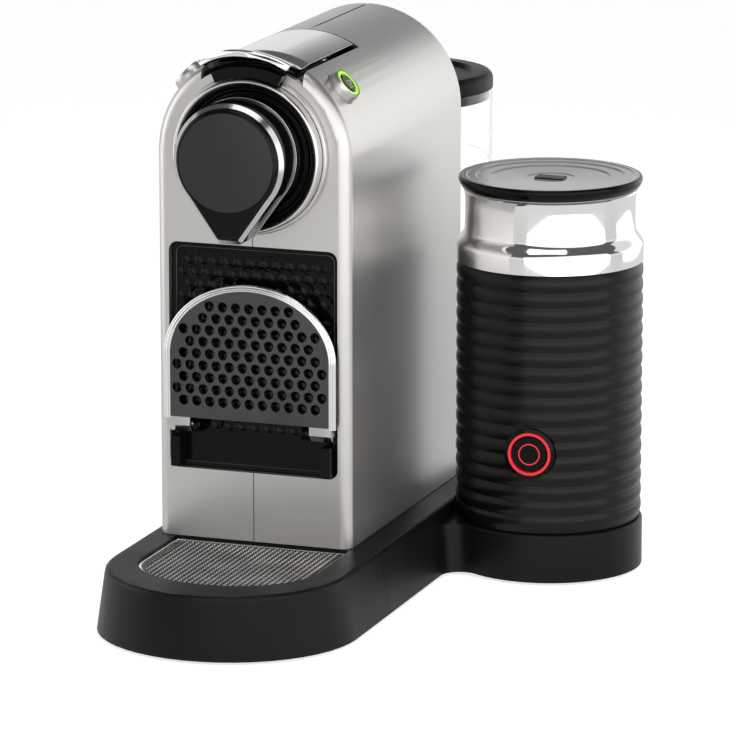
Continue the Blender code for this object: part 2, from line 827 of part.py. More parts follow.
def cup_support():
    pivot = (0, CUP_PIVOT_Y, CUP_PIVOT_Z)
    rows = []
    for row in range(4):
        height = CUP_PIVOT_Z + 0.014 + row * 0.0145
        count = (5, 6, 5, 4)[row]
        for i in range(count):
            across = (i - (count - 1) / 2) * 0.0145
            rows.append(arc(across, height, 0.0034, 30, 390, 6)[:-1])
    low = CUP_Y - CUP_THICK / 2
    high = CUP_Y + CUP_THICK / 2
    plate = slab("cup_support", "dark_metal", "y", low, high, [cup_outline(0), *rows], pivot)
    for side in (-1, 1):
        start, end = sorted((side * BARREL_LOW, side * BARREL_HIGH))
        loop = [
            *arc(CUP_PIVOT_Y, CUP_PIVOT_Z, BARREL_RADIUS, -90, 90, 10),
            (high - GAP, CUP_PIVOT_Z + BARREL_RADIUS + 0.004),
            (low + GAP, CUP_PIVOT_Z + BARREL_RADIUS + 0.004),
            (low + GAP, CUP_PIVOT_Z),
            (CUP_PIVOT_Y - 0.002, CUP_PIVOT_Z - BARREL_RADIUS),
        ]
        join(plate, slab(f"cup_barrel_{side}", None, "x", start, end, [loop]))
    bore = rod(
        "barrel_bore", None, (-0.05, *pivot[1:]), (0.05, *pivot[1:]), HINGE_PIN_RADIUS + GAP, 24
    )
    return cut(plate, bore)


# --- Brewing head ---


def head():
    front = -BEZEL_FRONT_Y
    back = -BEZEL_BACK_Y
    bezel = [
        (BEZEL_RADIUS - 0.0012, front), (BEZEL_RADIUS, front - 0.0012), (BEZEL_RADIUS, back),
        (BEZEL_INNER + 0.001, back),
        (BEZEL_INNER, front - 0.0025), (BEZEL_INNER + 0.0012, front),
    ]
    at = (0, 0, HEAD_Z)
    ahead = (0, -1, 0)
    turned("head_bezel", "silver_casing", bezel, at, ahead, 48, ring=True)
    trim = [
        (TRIM_OUTER - 0.0006, -TRIM_FRONT_Y), (TRIM_OUTER, -TRIM_FRONT_Y - 0.0006),
        (TRIM_OUTER, GAP), (BEZEL_RADIUS + GAP, GAP), (BEZEL_RADIUS + GAP, -TRIM_FRONT_Y),
    ]
    trim_ring = turned("head_trim_ring", "silver_casing", trim, at, ahead, 48, ring=True)
    spread = 180 / pi * COLLAR_ANGLE + 1
    notch = slab("trim_notch", None, "y", -0.02, 0.0, [sector(0.035, 0.06, spread)])
    cut(trim_ring, notch)
    cap_radius = BEZEL_INNER - GAP
    cap = [
        (0, 0.0060), (0.026, 0.0060), (0.0275, 0.0048), (0.031, 0.0048), (0.0325, 0.0062),
        (cap_radius, 0.0055), (cap_radius, -0.0030), (0, -0.0030),
    ]
    turned("brew_head_cap", "black_gloss", cap, at, ahead, 48)
    band = sector(COLLAR_INNER, COLLAR_OUTER, 180 / pi * COLLAR_ANGLE)
    collar = slab("lever_collar", "black_gloss", "y", -0.0075, -0.0004, [band])
    rounded(collar, 0.0006, 2)


def teardrop(inset):
    """A circle with two tangents down to a rounded tip."""
    radius = OUTLET_RADIUS - inset
    tip = OUTLET_TIP_HALF - inset * 0.7
    corner = 0.003
    low = OUTLET_TIP_Z + inset
    tip_z = low + corner
    tip_x = tip - corner
    drop = OUTLET_Z - tip_z
    reach = sqrt(drop**2 + tip_x**2)
    # direction of the tangent that touches both the circle and the tip's corner
    lean = 180 / pi * (asin((radius - corner) / reach) + asin(tip_x / reach))
    start = lean - 90
    right = arc(tip_x, tip_z, corner, -90, start, 5)
    top = arc(0, OUTLET_Z, radius, start, 180 - start, 32)
    left = arc(-tip_x, tip_z, corner, 180 - start, 270, 5)
    return [*right, *top, *left]


def coffee_outlet():
    outlet = slab(
        "coffee_outlet", "black_gloss", "y", OUTLET_FRONT_Y, OUTLET_BACK_Y, [teardrop(0)]
    )
    rounded(outlet, 0.002, 2)
    neck = rod(
        "outlet_neck", None,
        (0, OUTLET_BACK_Y - 0.005, HEAD_Z), (0, -0.0060 - GAP, HEAD_Z), OUTLET_NECK, 48,
    )
    y = (OUTLET_FRONT_Y + OUTLET_BACK_Y) / 2
    spout = rod("spout_bore", None, (0, y, 0.18), (0, y, OUTLET_TIP_Z + 0.012), SPOUT_RADIUS, 20)
    join(outlet, neck)
    return cut(outlet, spout)


# --- Lever and brew group ---


def lever_ring(y, rise, bow):
    """A section of the lever plate, raised most at its middle, its sides set back by bow."""
    spread = 180 / pi * asin(LEVER_HALF / BODY_HALF)
    ring = []
    for x, z in sector(BODY_HALF - LEVER_THICK, BODY_HALF, spread, 16):
        share = min(1.0, (x / LEVER_HALF) ** 2)
        ring.append((x, y + bow * share, z + rise * (1 - share * (1 - LIP_CORNER))))
    return ring


def lever_rings(count=12):
    """The plate's sections: the lip, a shallow saddle behind it, then straight to the rear."""
    rings = []
    for i in range(count + 1):
        share = i / count
        lift = (1 + cos(pi * min(1.0, share * 1.6))) / 2
        dip = sin(pi * max(0.0, share - 0.3) / 0.7) if share > 0.3 else 0.0
        rise = LIP_RISE * lift - SADDLE_DIP * dip
        bow = LIP_BOW * (1 + cos(pi * share)) / 2
        rings.append(lever_ring(LEVER_FRONT_Y + 2 * LIP_LENGTH * share, rise, bow))
    return [*rings, lever_ring(LEVER_REAR_Y, 0.0, 0.0)]


def brew_lever():
    pivot = (0, PIVOT_Y, PIVOT_Z)
    lever = lofted("brew_lever", "chrome", lever_rings(), pivot)
    rounded(lever, 0.0007, 2)
    under = CROWN_Z + sqrt((BODY_HALF - LEVER_THICK) ** 2 - EAR_HIGH**2)
    for side in (-1, 1):
        low, high = sorted((side * EAR_LOW, side * EAR_HIGH))
        riser = [
            (PIVOT_Y + EAR_RADIUS, under + 0.0015), (PIVOT_Y - EAR_RADIUS, under + 0.0015),
            *arc(PIVOT_Y, PIVOT_Z, EAR_RADIUS, 180, 360, 16),
        ]
        turn = 180 / pi * CRANK_SWING
        small = PIN_RADIUS + 0.002
        arm = [
            *arc(PIVOT_Y, PIVOT_Z, EAR_RADIUS - 0.0008, turn, turn + 180, 12),
            *arc(CRANK_Y, CRANK_Z, small, turn + 180, turn + 360, 12),
        ]
        join(
            lever,
            slab(f"lever_ear_{side}", None, "x", low, high, [riser]),
            slab(f"crank_arm_{side}", None, "x", low, high, [arm]),
        )
    hole = PIN_RADIUS + GAP
    cut(
        lever,
        rod("pivot_bore", None, (-0.04, PIVOT_Y, PIVOT_Z), (0.04, PIVOT_Y, PIVOT_Z), hole, 24),
        rod("crank_bore", None, (-0.04, CRANK_Y, CRANK_Z), (0.04, CRANK_Y, CRANK_Z), hole, 24),
    )
    reach = ARM_HIGH + 0.0006
    rod(
        "crank_pin", "stainless", (-reach, CRANK_Y, CRANK_Z), (reach, CRANK_Y, CRANK_Z),
        PIN_RADIUS, 24, pivot,
    )
    end = FRAME_HIGH + 0.0008
    rod(
        "lever_pivot_pin", "stainless", (-end, PIVOT_Y, PIVOT_Z), (end, PIVOT_Y, PIVOT_Z),
        PIN_RADIUS, 24,
    )
    return lever


def brew_chamber():
    rear = CHAMBER_FRONT_Y + CHAMBER_LENGTH
    chamber = rod(
        "brew_chamber", "stainless", (0, CHAMBER_FRONT_Y, HEAD_Z), (0, rear, HEAD_Z),
        CHAMBER_RADIUS, 48,
    )
    yoke = CRANK_Y
    half_slot = PIN_RADIUS + SLOT_PLAY
    slot_low = PIVOT_Z - CRANK - PIN_RADIUS - SLOT_PLAY
    slot_high = CRANK_Z + PIN_RADIUS + SLOT_PLAY
    wide = half_slot + 0.005
    arm_low = HEAD_Z - 0.007
    arm_high = HEAD_Z + 0.007
    outline = [
        (CHAMBER_FRONT_Y, arm_low), (yoke + wide, arm_low), (yoke + wide, slot_high + 0.004),
        (yoke - wide, slot_high + 0.004), (yoke - wide, arm_high), (CHAMBER_FRONT_Y, arm_high),
    ]
    slot = rounded_rectangle(yoke - half_slot, slot_low, yoke + half_slot, slot_high, 0.0009, 2)
    cross = box(
        "chamber_cross", None,
        (-ARM_LOW - 0.001, CHAMBER_FRONT_Y + 0.002, HEAD_Z - 0.005),
        (ARM_LOW + 0.001, rear - 0.004, HEAD_Z + 0.005),
    )
    join(chamber, cross)
    for side in (-1, 1):
        low, high = sorted((side * ARM_LOW, side * ARM_HIGH))
        join(chamber, slab(f"chamber_arm_{side}", None, "x", low, high, [outline, slot]))
    cup = rod(
        "chamber_bore", None, (0, rear - CHAMBER_DEPTH, HEAD_Z), (0, rear + 0.001, HEAD_Z),
        CHAMBER_BORE, 48,
    )
    return cut(chamber, cup)


def brew_frame():
    low = CHASSIS_TOP + GAP
    top = HEAD_Z + 0.0195
    section = [
        (FRAME_HIGH, low), (FRAME_HIGH, PIVOT_Z + 0.0045), (FRAME_LOW, PIVOT_Z + 0.0045),
        (FRAME_LOW, low + 0.003), (-FRAME_LOW, low + 0.003), (-FRAME_LOW, PIVOT_Z + 0.0045),
        (-FRAME_HIGH, PIVOT_Z + 0.0045), (-FRAME_HIGH, low),
    ]
    frame = slab("brew_frame", "aluminium", "y", FRAME_FRONT_Y, FRAME_REAR_Y, [section])
    lug = 0.008
    clear = [
        box("frame_step_front", None, (-0.04, 0, top), (0.04, PIVOT_Y - lug, 0.3)),
        box("frame_step_rear", None, (-0.04, PIVOT_Y + lug, top), (0.04, 0.1, 0.3)),
        box("frame_drop", None, (-POD_HALF, POD_FRONT_Y, 0.19), (POD_HALF, POD_REAR_Y, low + 0.005)),
        rod("frame_bore", None, (-0.04, PIVOT_Y, PIVOT_Z), (0.04, PIVOT_Y, PIVOT_Z),
            PIN_RADIUS + GAP, 24),
    ]
    return cut(frame, *clear)


def injection_head():
    front = CHAMBER_FRONT_Y + CHAMBER_LENGTH + 0.0008
    nozzle = rod(
        "injection_head", "stainless", (0, front, HEAD_Z), (0, front + 0.019, HEAD_Z),
        INJECTOR_RADIUS, 40,
    )
    low = CHASSIS_TOP + 2 * GAP + 0.003
    half = ARM_LOW - 0.0008
    back = box(
        "injector_plate", None, (-half, front + 0.018, low), (half, front + 0.023, HEAD_Z + 0.012)
    )
    return join(nozzle, back)


def pod_chute():
    inner = 0.043
    outer = BODY_HALF - LEVER_THICK - SADDLE_DIP - 0.0006
    spread = 180 / pi * asin((LEVER_HALF + 0.001) / outer)
    chute = slab(
        "pod_chute", "black_matte", "y", FRONT_WALL + GAP, 0.048, [sector(inner, outer, spread)]
    )
    hole = box(
        "chute_hole", None, (-POD_HALF, POD_FRONT_Y, 0.25), (POD_HALF, POD_REAR_Y, 0.28)
    )
    return cut(chute, hole)


# --- Works inside the casing ---


def works():
    low = CHASSIS_TOP + GAP
    block = box("thermoblock", "aluminium", (-0.022, 0.092, low), (0.022, 0.126, low + 0.036))
    rounded(block, 0.003, 3)
    x = -0.018
    y = 0.148
    pump = [
        (0, 0.098), (0.003, 0.098), (0.003, 0.090), (0.009, 0.088), (0.009, 0.080),
        (0.016, 0.079), (0.016, 0.048), (0.009, 0.047), (0.009, PUMP_LOW), (0, PUMP_LOW),
    ]
    turned("pump", "stainless", pump, at=(x, y, 0), steps=32)
    meter = [
        (0, 0.124), (0.003, 0.124), (0.003, 0.118), (0.012, 0.117), (0.012, 0.108), (0, 0.108)
    ]
    turned("flow_meter", "black_matte", meter, at=(0.024, y, 0), steps=32)
    board = box(
        "control_board", "board_green",
        (-0.034, BODY_LENGTH - 0.0060, 0.150), (0.034, BODY_LENGTH - 0.0044, 0.215),
    )
    for i, height in enumerate((0.162, 0.180, 0.199)):
        chip = box(
            f"chip_{i}", None,
            (-0.02 + 0.012 * i, BODY_LENGTH - 0.0110, height - 0.006),
            (-0.006 + 0.012 * i, BODY_LENGTH - 0.0055, height + 0.006),
        )
        join(board, chip)
    rim = BASE_TOP - 2 * GAP
    seat = [
        (0, 0.024), (STUB_RADIUS + 0.0015, 0.024), (STUB_RADIUS + 0.0015, rim), (0.012, rim),
        (0.012, 0.022), (0, 0.022),
    ]
    turned("valve_seat", "silicone", seat, at=(0, TANK_Y, 0), steps=24)
    hose(
        "pressure_hose", "silicone",
        [(x, y, 0.0984), (x, y, 0.15), (x, y - 0.004, 0.18), (x + 0.003, y - 0.010, 0.205),
         (x + 0.006, y - 0.018, 0.214), (x + 0.006, 0.1265, 0.214)],
        0.0025,
    )
    rear = CHAMBER_FRONT_Y + CHAMBER_LENGTH + 0.0008 + 0.023
    hose(
        "feed_hose", "silicone",
        [(0, 0.0916, 0.222), (0, 0.085, 0.221), (0, 0.075, 0.220), (0, rear + 0.0004, 0.220)],
        0.0025,
    )


def shoulder_buttons():
    top = BUTTON_HEIGHT
    light_outer = BUTTON_RADIUS + 2 * GAP + LIGHT_WIDTH
    floor = top - 0.0045
    sides = (("right", "espresso_button", 1), ("left", "lungo_button", -1))
    for word, cap_name, side in sides:
        at = button_point(side, BODY_HALF)
        towards = button_direction(side)
        boss = [
            (light_outer + GAP + 0.0003, top), (BOSS_RADIUS - 0.0006, top - 0.0006),
            (BOSS_RADIUS, top - 0.0022), (BOSS_RADIUS, -0.0050), (0, -0.0050), (0, floor),
            (light_outer + GAP, floor),
        ]
        profile = [(0, floor), (light_outer + GAP, floor), *boss[:5]]
        turned(f"button_bezel_{word}", "silver_casing", profile, at, towards, 28)
        ring = [
            (light_outer, top - 0.0004), (light_outer, floor + GAP),
            (BUTTON_RADIUS + 2 * GAP, floor + GAP), (BUTTON_RADIUS + 2 * GAP, top - 0.0004),
        ]
        turned(f"button_light_{word}", "glow_green", ring, at, towards, 28, ring=True)
        cap = [
            (0, top - 0.0002), (BUTTON_RADIUS - 0.0006, top - 0.0002),
            (BUTTON_RADIUS, top - 0.0008), (BUTTON_RADIUS, floor + GAP + BUTTON_TRAVEL + 0.0003),
            (0, floor + GAP + BUTTON_TRAVEL + 0.0003),
        ]
        turned(cap_name, "black_gloss", cap, at, towards, 24)


# --- Tank ---


def tank():
    low = BASE_TOP + 2 * GAP
    inner = TANK_RADIUS - TANK_WALL
    profile = [
        (0, low + 0.003), (inner - 0.003, low + 0.003), (inner, low + 0.006), (inner, TANK_TOP),
        (TANK_RADIUS, TANK_TOP), (TANK_RADIUS, low + 0.003), (TANK_RADIUS - 0.003, low),
        (STUB_RADIUS, low), (STUB_RADIUS, low - 0.005), (0, low - 0.005),
    ]
    turned("water_tank", "clear_plastic", profile, at=(0, TANK_Y, 0), steps=48)
    edge = LID_EDGE
    plug = inner - 0.0008
    lid = [
        (0, LID_TOP - 0.0018), (0.036, LID_TOP - 0.0018), (0.0375, LID_TOP),
        *[
            (LID_RADIUS - edge + edge * sin(radians(a)), LID_TOP - edge + edge * cos(radians(a)))
            for a in (0, 30, 60, 90)
        ],
        (LID_RADIUS, LID_BOTTOM), (plug, LID_BOTTOM), (plug, LID_BOTTOM - PLUG_DEPTH),
        (0, LID_BOTTOM - PLUG_DEPTH),
    ]
    turned("tank_lid", "black_matte", lid, at=(0, TANK_Y, 0), steps=48)


# --- Milk frother ---


def frother_direction():
    return Vector((sin(FROTHER_BUTTON_TURN), -cos(FROTHER_BUTTON_TURN), 0))


def frother():
    at = (FROTHER_X, FROTHER_Y, 0)
    inner = SLEEVE_RADIUS - SLEEVE_WALL
    low = PEDESTAL_TOP + GAP
    sleeve_profile = [
        (SLEEVE_RADIUS, SLEEVE_TOP), (SLEEVE_RADIUS, low), (inner, low), (inner, SLEEVE_TOP)
    ]
    sleeve = turned("frother_sleeve", "black_matte", sleeve_profile, at, steps=48, ring=True)
    pot = inner - GAP
    jug_profile = [
        (RIM_RADIUS, RIM_Z), (NECK_RADIUS, NECK_HIGH_Z - 0.001),
        (NECK_RADIUS, NECK_LOW_Z + 0.001), (NECK_RADIUS + 0.0010, NECK_LOW_Z - 0.002),
        (SLEEVE_RADIUS, COLLAR_BAND_Z), (SLEEVE_RADIUS, SLEEVE_TOP + GAP), (pot, SLEEVE_TOP + GAP),
        (pot, JUG_BOTTOM), (0, JUG_BOTTOM), (0, JUG_BOTTOM + JUG_WALL),
        (pot - JUG_WALL, JUG_BOTTOM + JUG_WALL), (pot - JUG_WALL, COLLAR_BAND_Z - 0.001),
        (NECK_RADIUS - JUG_WALL, NECK_LOW_Z), (NECK_RADIUS - JUG_WALL, NECK_HIGH_Z),
        (RIM_RADIUS - JUG_WALL, RIM_Z),
    ]
    bottom_first = [*jug_profile[9:], *jug_profile[:9]]
    turned("frother_jug", "chrome", bottom_first, at, steps=48)
    frother_button_parts(sleeve)
    frother_lid(at)
    frother_drive(at)


def frother_button_parts(sleeve):
    towards = frother_direction()
    face = SLEEVE_RADIUS + 0.0012
    centre = Vector((FROTHER_X, FROTHER_Y, FROTHER_BUTTON_Z))
    hole = rod(
        "housing_hole", None, centre + towards * 0.02, centre + towards * 0.07,
        HOUSING_RADIUS + GAP, 40,
    )
    cut(sleeve, hole)
    back = SLEEVE_RADIUS - SLEEVE_WALL + 0.0004
    ring_inner = FROTHER_CAP_RADIUS + 2 * GAP
    ring_outer = ring_inner + 0.0013
    floor = back + 0.0012
    housing = [
        (0, floor), (ring_outer + GAP, floor), (ring_outer + GAP, face), (HOUSING_RADIUS, face - 0.0006),
        (HOUSING_RADIUS, back), (0, back),
    ]
    at = tuple(centre)
    turned("frother_button_housing", "black_gloss", housing, at, towards, 32)
    ring = [
        (ring_outer, face), (ring_outer, floor + GAP), (ring_inner, floor + GAP), (ring_inner, face)
    ]
    turned("frother_button_light", "glow_red", ring, at, towards, 32, ring=True)
    cap_low = floor + GAP + 0.0011
    cap = [
        (0, face), (FROTHER_CAP_RADIUS - 0.0004, face), (FROTHER_CAP_RADIUS, face - 0.0004),
        (FROTHER_CAP_RADIUS, cap_low), (0, cap_low),
    ]
    turned("frother_button", "black_gloss", cap, at, towards, 32)


def frother_lid(at):
    top = FROTHER_LID_TOP
    plate = RIM_Z + GAP
    wide = FROTHER_LID_RADIUS
    skirt = NECK_RADIUS - JUG_WALL - 0.0010
    under = top - 0.0042
    lid = [
        (0, top - 0.0022), (wide - 0.0040, top - 0.0022), (wide - 0.0030, top),
        (wide - 0.0008, top - 0.0003), (wide, top - 0.0016), (wide - 0.0006, top - 0.0032),
        (RIM_RADIUS + 0.0008, plate + 0.0015), (RIM_RADIUS, plate), (skirt, plate),
        (skirt, plate - 0.007), (skirt - 0.0015, plate - 0.007), (skirt - 0.0015, under),
        (0, under),
    ]
    turned("frother_lid", "smoke_plastic", lid, at, steps=48)
    seal_low = plate - 0.0060
    seal = [
        (skirt + 0.0007, seal_low + 0.003), (skirt + 0.0007, seal_low),
        (skirt + GAP, seal_low), (skirt + GAP, seal_low + 0.003),
    ]
    turned("frother_lid_seal", "rubber", seal, at, steps=32, ring=True)
    x, y, _ = at
    holder = box(
        "whisk_holder", "black_matte",
        (x - 0.007, y - 0.004, top - 0.0125), (x + 0.007, y + 0.004, top - 0.0045),
    )
    rounded(holder, 0.0008, 2)


def frother_drive(at):
    x, y, _ = at
    low = PEDESTAL_TOP + GAP
    hub = [
        (0, low + 0.006), (0.008, low + 0.006), (0.008, low + 0.002),
        (HUB_RADIUS, low + 0.002), (HUB_RADIUS, low), (0, low),
    ]
    turned("frother_hub", "black_matte", hub, at, steps=32)
    high = PEDESTAL_TOP - WALL - GAP
    motor = [(0, high), (0.016, high), (0.016, 0.005), (0, 0.005)]
    turned("frother_motor", "stainless", motor, at, steps=32)
    bottom = JUG_BOTTOM + JUG_WALL + 0.0006
    centre = (x, y, 0)
    hub_profile = [
        (0, bottom + 0.010), (0.003, bottom + 0.010), (0.003, bottom + 0.003),
        (0.005, bottom + 0.002), (0.005, bottom), (0, bottom),
    ]
    whisk = turned("whisk", "stainless", hub_profile, centre, steps=20)
    level = bottom + 0.0025
    loop = [
        (WHISK_RADIUS + 0.0018 * cos(radians(a)), level + 0.0018 * sin(radians(a)))
        for a in range(60, -300, -60)
    ]
    join(whisk, turned("whisk_ring", None, loop, centre, steps=20, ring=True))
    for i in range(3):
        turn = radians(120 * i)
        tip = (x + WHISK_RADIUS * cos(turn), y + WHISK_RADIUS * sin(turn), level)
        join(whisk, rod(f"whisk_spoke_{i}", None, (x, y, level), tip, 0.0011, 8))


base_plinth()
base_plate()
feet()
drip_tray()
drip_grid()
casing()
rear_panel()
crown_seam_strip()
chassis()
container_panel()
capsule_container()
cup_support()
head()
coffee_outlet()
brew_lever()
brew_chamber()
brew_frame()
injection_head()
pod_chute()
works()
shoulder_buttons()
tank()
frother()
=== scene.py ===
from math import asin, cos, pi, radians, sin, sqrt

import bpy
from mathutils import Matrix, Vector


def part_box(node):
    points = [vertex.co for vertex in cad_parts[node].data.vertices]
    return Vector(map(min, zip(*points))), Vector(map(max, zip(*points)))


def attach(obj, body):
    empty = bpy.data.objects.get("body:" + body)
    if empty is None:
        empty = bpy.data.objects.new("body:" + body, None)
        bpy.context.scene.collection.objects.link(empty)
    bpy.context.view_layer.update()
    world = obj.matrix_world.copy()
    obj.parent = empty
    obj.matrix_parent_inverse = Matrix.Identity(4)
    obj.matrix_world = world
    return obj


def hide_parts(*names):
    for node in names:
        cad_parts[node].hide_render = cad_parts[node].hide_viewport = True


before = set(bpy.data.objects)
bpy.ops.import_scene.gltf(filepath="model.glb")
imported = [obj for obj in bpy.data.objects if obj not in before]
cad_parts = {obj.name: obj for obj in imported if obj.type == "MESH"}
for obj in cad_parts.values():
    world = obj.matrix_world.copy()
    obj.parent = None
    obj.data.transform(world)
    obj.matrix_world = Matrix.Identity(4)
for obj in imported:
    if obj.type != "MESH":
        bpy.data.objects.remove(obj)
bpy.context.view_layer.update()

# The looks of the pod coffee machine: node-based materials, finer pieces for the shapes that the
# CAD keeps plain, a soft studio and the camera. Lengths are metres. Pieces are laid out in the
# machine's own plan (x = 0 on the body's centre line, y = 0 on its front face, z = 0 on the
# table) and moved from there to the shared frame by ORIGIN.

PANEL_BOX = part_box("container_panel")
SHELL_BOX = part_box("body_shell_left")
ORIGIN = Vector(((PANEL_BOX[0].x + PANEL_BOX[1].x) / 2, SHELL_BOX[0].y, 0.0))
SLEEVE_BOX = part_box("frother_sleeve")
TANK_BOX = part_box("water_tank")
GRID_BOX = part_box("drip_grid")
FROTHER = (SLEEVE_BOX[0] + SLEEVE_BOX[1]) / 2 - ORIGIN
TANK = (TANK_BOX[0] + TANK_BOX[1]) / 2 - ORIGIN

# The clearance between neighbours, as in the CAD
GAP = 0.0003

# Milk frother
SLEEVE_RADIUS = (SLEEVE_BOX[1].x - SLEEVE_BOX[0].x) / 2
SLEEVE_WALL = 0.0033
SLEEVE_INNER = SLEEVE_RADIUS - SLEEVE_WALL
SLEEVE_LOW = SLEEVE_BOX[0].z
SLEEVE_HIGH = SLEEVE_BOX[1].z
RIBS = 17
RIB_DEPTH = 0.0009
RIB_ROUND = 2.2
RIB_START = 0.0018
RIB_END = 0.0012
JUG_WALL = 0.0015
JUG_BOTTOM = 0.035
JUG_FILLET = 0.003
SHOULDER_LOW = 0.1670
SHOULDER_TALL = 0.0080
NECK_RADIUS = 0.043
NECK_FLARE = 0.0002
NECK_LOW = 0.180
NECK_HIGH = 0.189
NECK_TOP = 0.1925
RIM_Z = 0.1950
RIM_RADIUS = 0.0438
LID_TOP = 0.2020
LID_RADIUS = 0.0465
LID_THICK = 0.0042
LID_WALL = 0.0015
LID_PLAY = 0.0010
LID_PLUG = 0.007
BUTTON_Z = 0.068
BUTTON_TURN = radians(6)
BUTTON_PROUD = 0.0012
HOUSING_RADIUS = 0.013
RED_RING_OUTER = 0.0055
RED_RING_INNER = 0.0049

# Container panel
PANEL_HALF = 0.0438
PANEL_LOW = 0.0685
PANEL_HIGH = 0.1820
PANEL_Y = 0.0035
PANEL_THICK = 0.003
FACE_THICK = 0.0012
BOWL_BACK = 0.0013
CELL_ACROSS = 0.0068
CELL_UP = 0.0059
CELL_RADIUS = 0.00315
CELL_LOW = 0.0900
CELL_TOP_MARGIN = 0.0078
CELL_SIDE_MARGIN = 0.0062
LUG_INNER = 0.0265
LUG_OUTER = 0.0303
LUG_RADIUS = 0.0035
STOP_INNER = 0.037
STOP_OUTER = 0.042
STOP_HALF_DEEP = 0.005
STOP_DROP = 0.0058
LEDGE_INSET = 0.0024
LEDGE_RADIUS = 0.00028

# Cup support
CUP_PIVOT = (-0.001, 0.091)
CUP_HALF = 0.045
CUP_SPRING_Z = 0.127
CUP_TOP_Z = 0.164
CUP_FRONT_Y = -0.0062
CUP_BACK_Y = -0.0038
CUP_BORDER = 0.0065
CUP_HOLE_ACROSS = 0.0069
CUP_HOLE_UP = 0.0060
CUP_HOLE_LOW = 0.0095
HOLE_RADIUS = 0.0025
RIM_BAR_RADIUS = 0.00065
BARREL_INNER = 0.031
BARREL_OUTER = 0.043
BARREL_SLACK = 0.0002
BARREL_RADIUS = 0.0034
BARREL_RISE = 0.0072

# Brewing head
HEAD_Z = 0.2285
HEAD_BACK = -0.0030
BEZEL_BACK = -0.0074
OUTLET_RADIUS = 0.0286
OUTLET_Z = 0.2300
OUTLET_TIP_Z = 0.1895
OUTLET_TIP_HALF = 0.0075
TIP_CORNER = 0.003
TIP_CORNER_LEAST = 0.0006
TIP_FLAT_LEAST = 0.0002
OUTLET_FRONT = 0.0362
OUTLET_BACK = 0.014
OUTLET_NECK_RADIUS = 0.024
OUTLET_NECK_BACK = 0.0063
DISC_RADIUS = 0.0242
DISC_CROWN = 0.0012
CHAMFER_BACK = 0.0050
CHAMFER_FRONT = 0.0026
CHAMFER_WIDE = 0.0023
FACE_ROUND = 0.0020

# Base
NOSE_Y = -0.045
GRID_X = (GRID_BOX[0].x + GRID_BOX[1].x) / 2 - ORIGIN.x
GRID_PITCH = 0.0029
GRID_BORDER = 0.0022
GRID_RIM = 0.0016
KNOB_HALF = 0.00120
KNOB_TIP = 0.00012
KNOB_TALL = 0.0010

# Shoulder buttons; MARK_REACH is measured out from the crown's axis
CROWN_AXIS_Z = 0.2270
BUTTON_LEAN = radians(50)
MARK_REACH = 0.05532
MARK_LINE = 0.00022

# Tank
LEVEL_Z = 0.1880
LEVEL_INSET = 0.0024

# ---------------------------------------------------------------- materials

MATERIALS = {}

# Most of a noise texture's values lie between these two
NOISE_LOW = 0.3
NOISE_HIGH = 0.7


def colour(value, tint=(1.0, 1.0, 1.0)):
    """A grey of this value, tinted."""
    return (value * tint[0], value * tint[1], value * tint[2], 1.0)


def surface(
    name, base, metallic=0.0, roughness=0.4, rough_spread=0.05, mottle=30.0, mottle_amount=0.08,
    grain=1400.0, grain_depth=0.00002, stretch=(1, 1, 1), specular=0.5,
    transmission=0.0, ior=1.5, glow=None, glow_strength=0.0,
):
    """A Principled surface with mottled colour, uneven roughness and a fine grain."""
    made = bpy.data.materials.new(name)
    made.use_nodes = True
    nodes = made.node_tree.nodes
    links = made.node_tree.links
    shader = nodes["Principled BSDF"]
    shader.inputs["Metallic"].default_value = metallic
    shader.inputs["Specular IOR Level"].default_value = specular
    shader.inputs["Transmission Weight"].default_value = transmission
    shader.inputs["IOR"].default_value = ior
    if glow:
        shader.inputs["Emission Color"].default_value = glow
        shader.inputs["Emission Strength"].default_value = glow_strength
    where = nodes.new("ShaderNodeTexCoord")
    mapping = nodes.new("ShaderNodeMapping")
    mapping.inputs["Scale"].default_value = stretch
    links.new(where.outputs["Object"], mapping.inputs["Vector"])

    cloud = nodes.new("ShaderNodeTexNoise")
    cloud.inputs["Scale"].default_value = mottle
    cloud.inputs["Detail"].default_value = 4.0
    links.new(mapping.outputs["Vector"], cloud.inputs["Vector"])
    ramp = nodes.new("ShaderNodeValToRGB")
    ramp.color_ramp.elements[0].position = NOISE_LOW
    ramp.color_ramp.elements[1].position = NOISE_HIGH
    low = [c * (1 - mottle_amount) for c in base[:3]]
    high = [min(1.0, c * (1 + mottle_amount)) for c in base[:3]]
    ramp.color_ramp.elements[0].color = (*low, 1)
    ramp.color_ramp.elements[1].color = (*high, 1)
    links.new(cloud.outputs["Fac"], ramp.inputs["Fac"])
    links.new(ramp.outputs["Color"], shader.inputs["Base Color"])

    spread = nodes.new("ShaderNodeMapRange")
    spread.inputs["From Min"].default_value = NOISE_LOW
    spread.inputs["From Max"].default_value = NOISE_HIGH
    spread.inputs["To Min"].default_value = max(0.0, roughness - rough_spread)
    spread.inputs["To Max"].default_value = roughness + rough_spread
    links.new(cloud.outputs["Fac"], spread.inputs["Value"])
    links.new(spread.outputs["Result"], shader.inputs["Roughness"])

    fine = nodes.new("ShaderNodeTexNoise")
    fine.inputs["Scale"].default_value = grain
    fine.inputs["Detail"].default_value = 2.0
    links.new(mapping.outputs["Vector"], fine.inputs["Vector"])
    bump = nodes.new("ShaderNodeBump")
    bump.inputs["Strength"].default_value = 0.5
    bump.inputs["Distance"].default_value = grain_depth
    links.new(fine.outputs["Fac"], bump.inputs["Height"])
    links.new(bump.outputs["Normal"], shader.inputs["Normal"])
    MATERIALS[name] = made
    return made


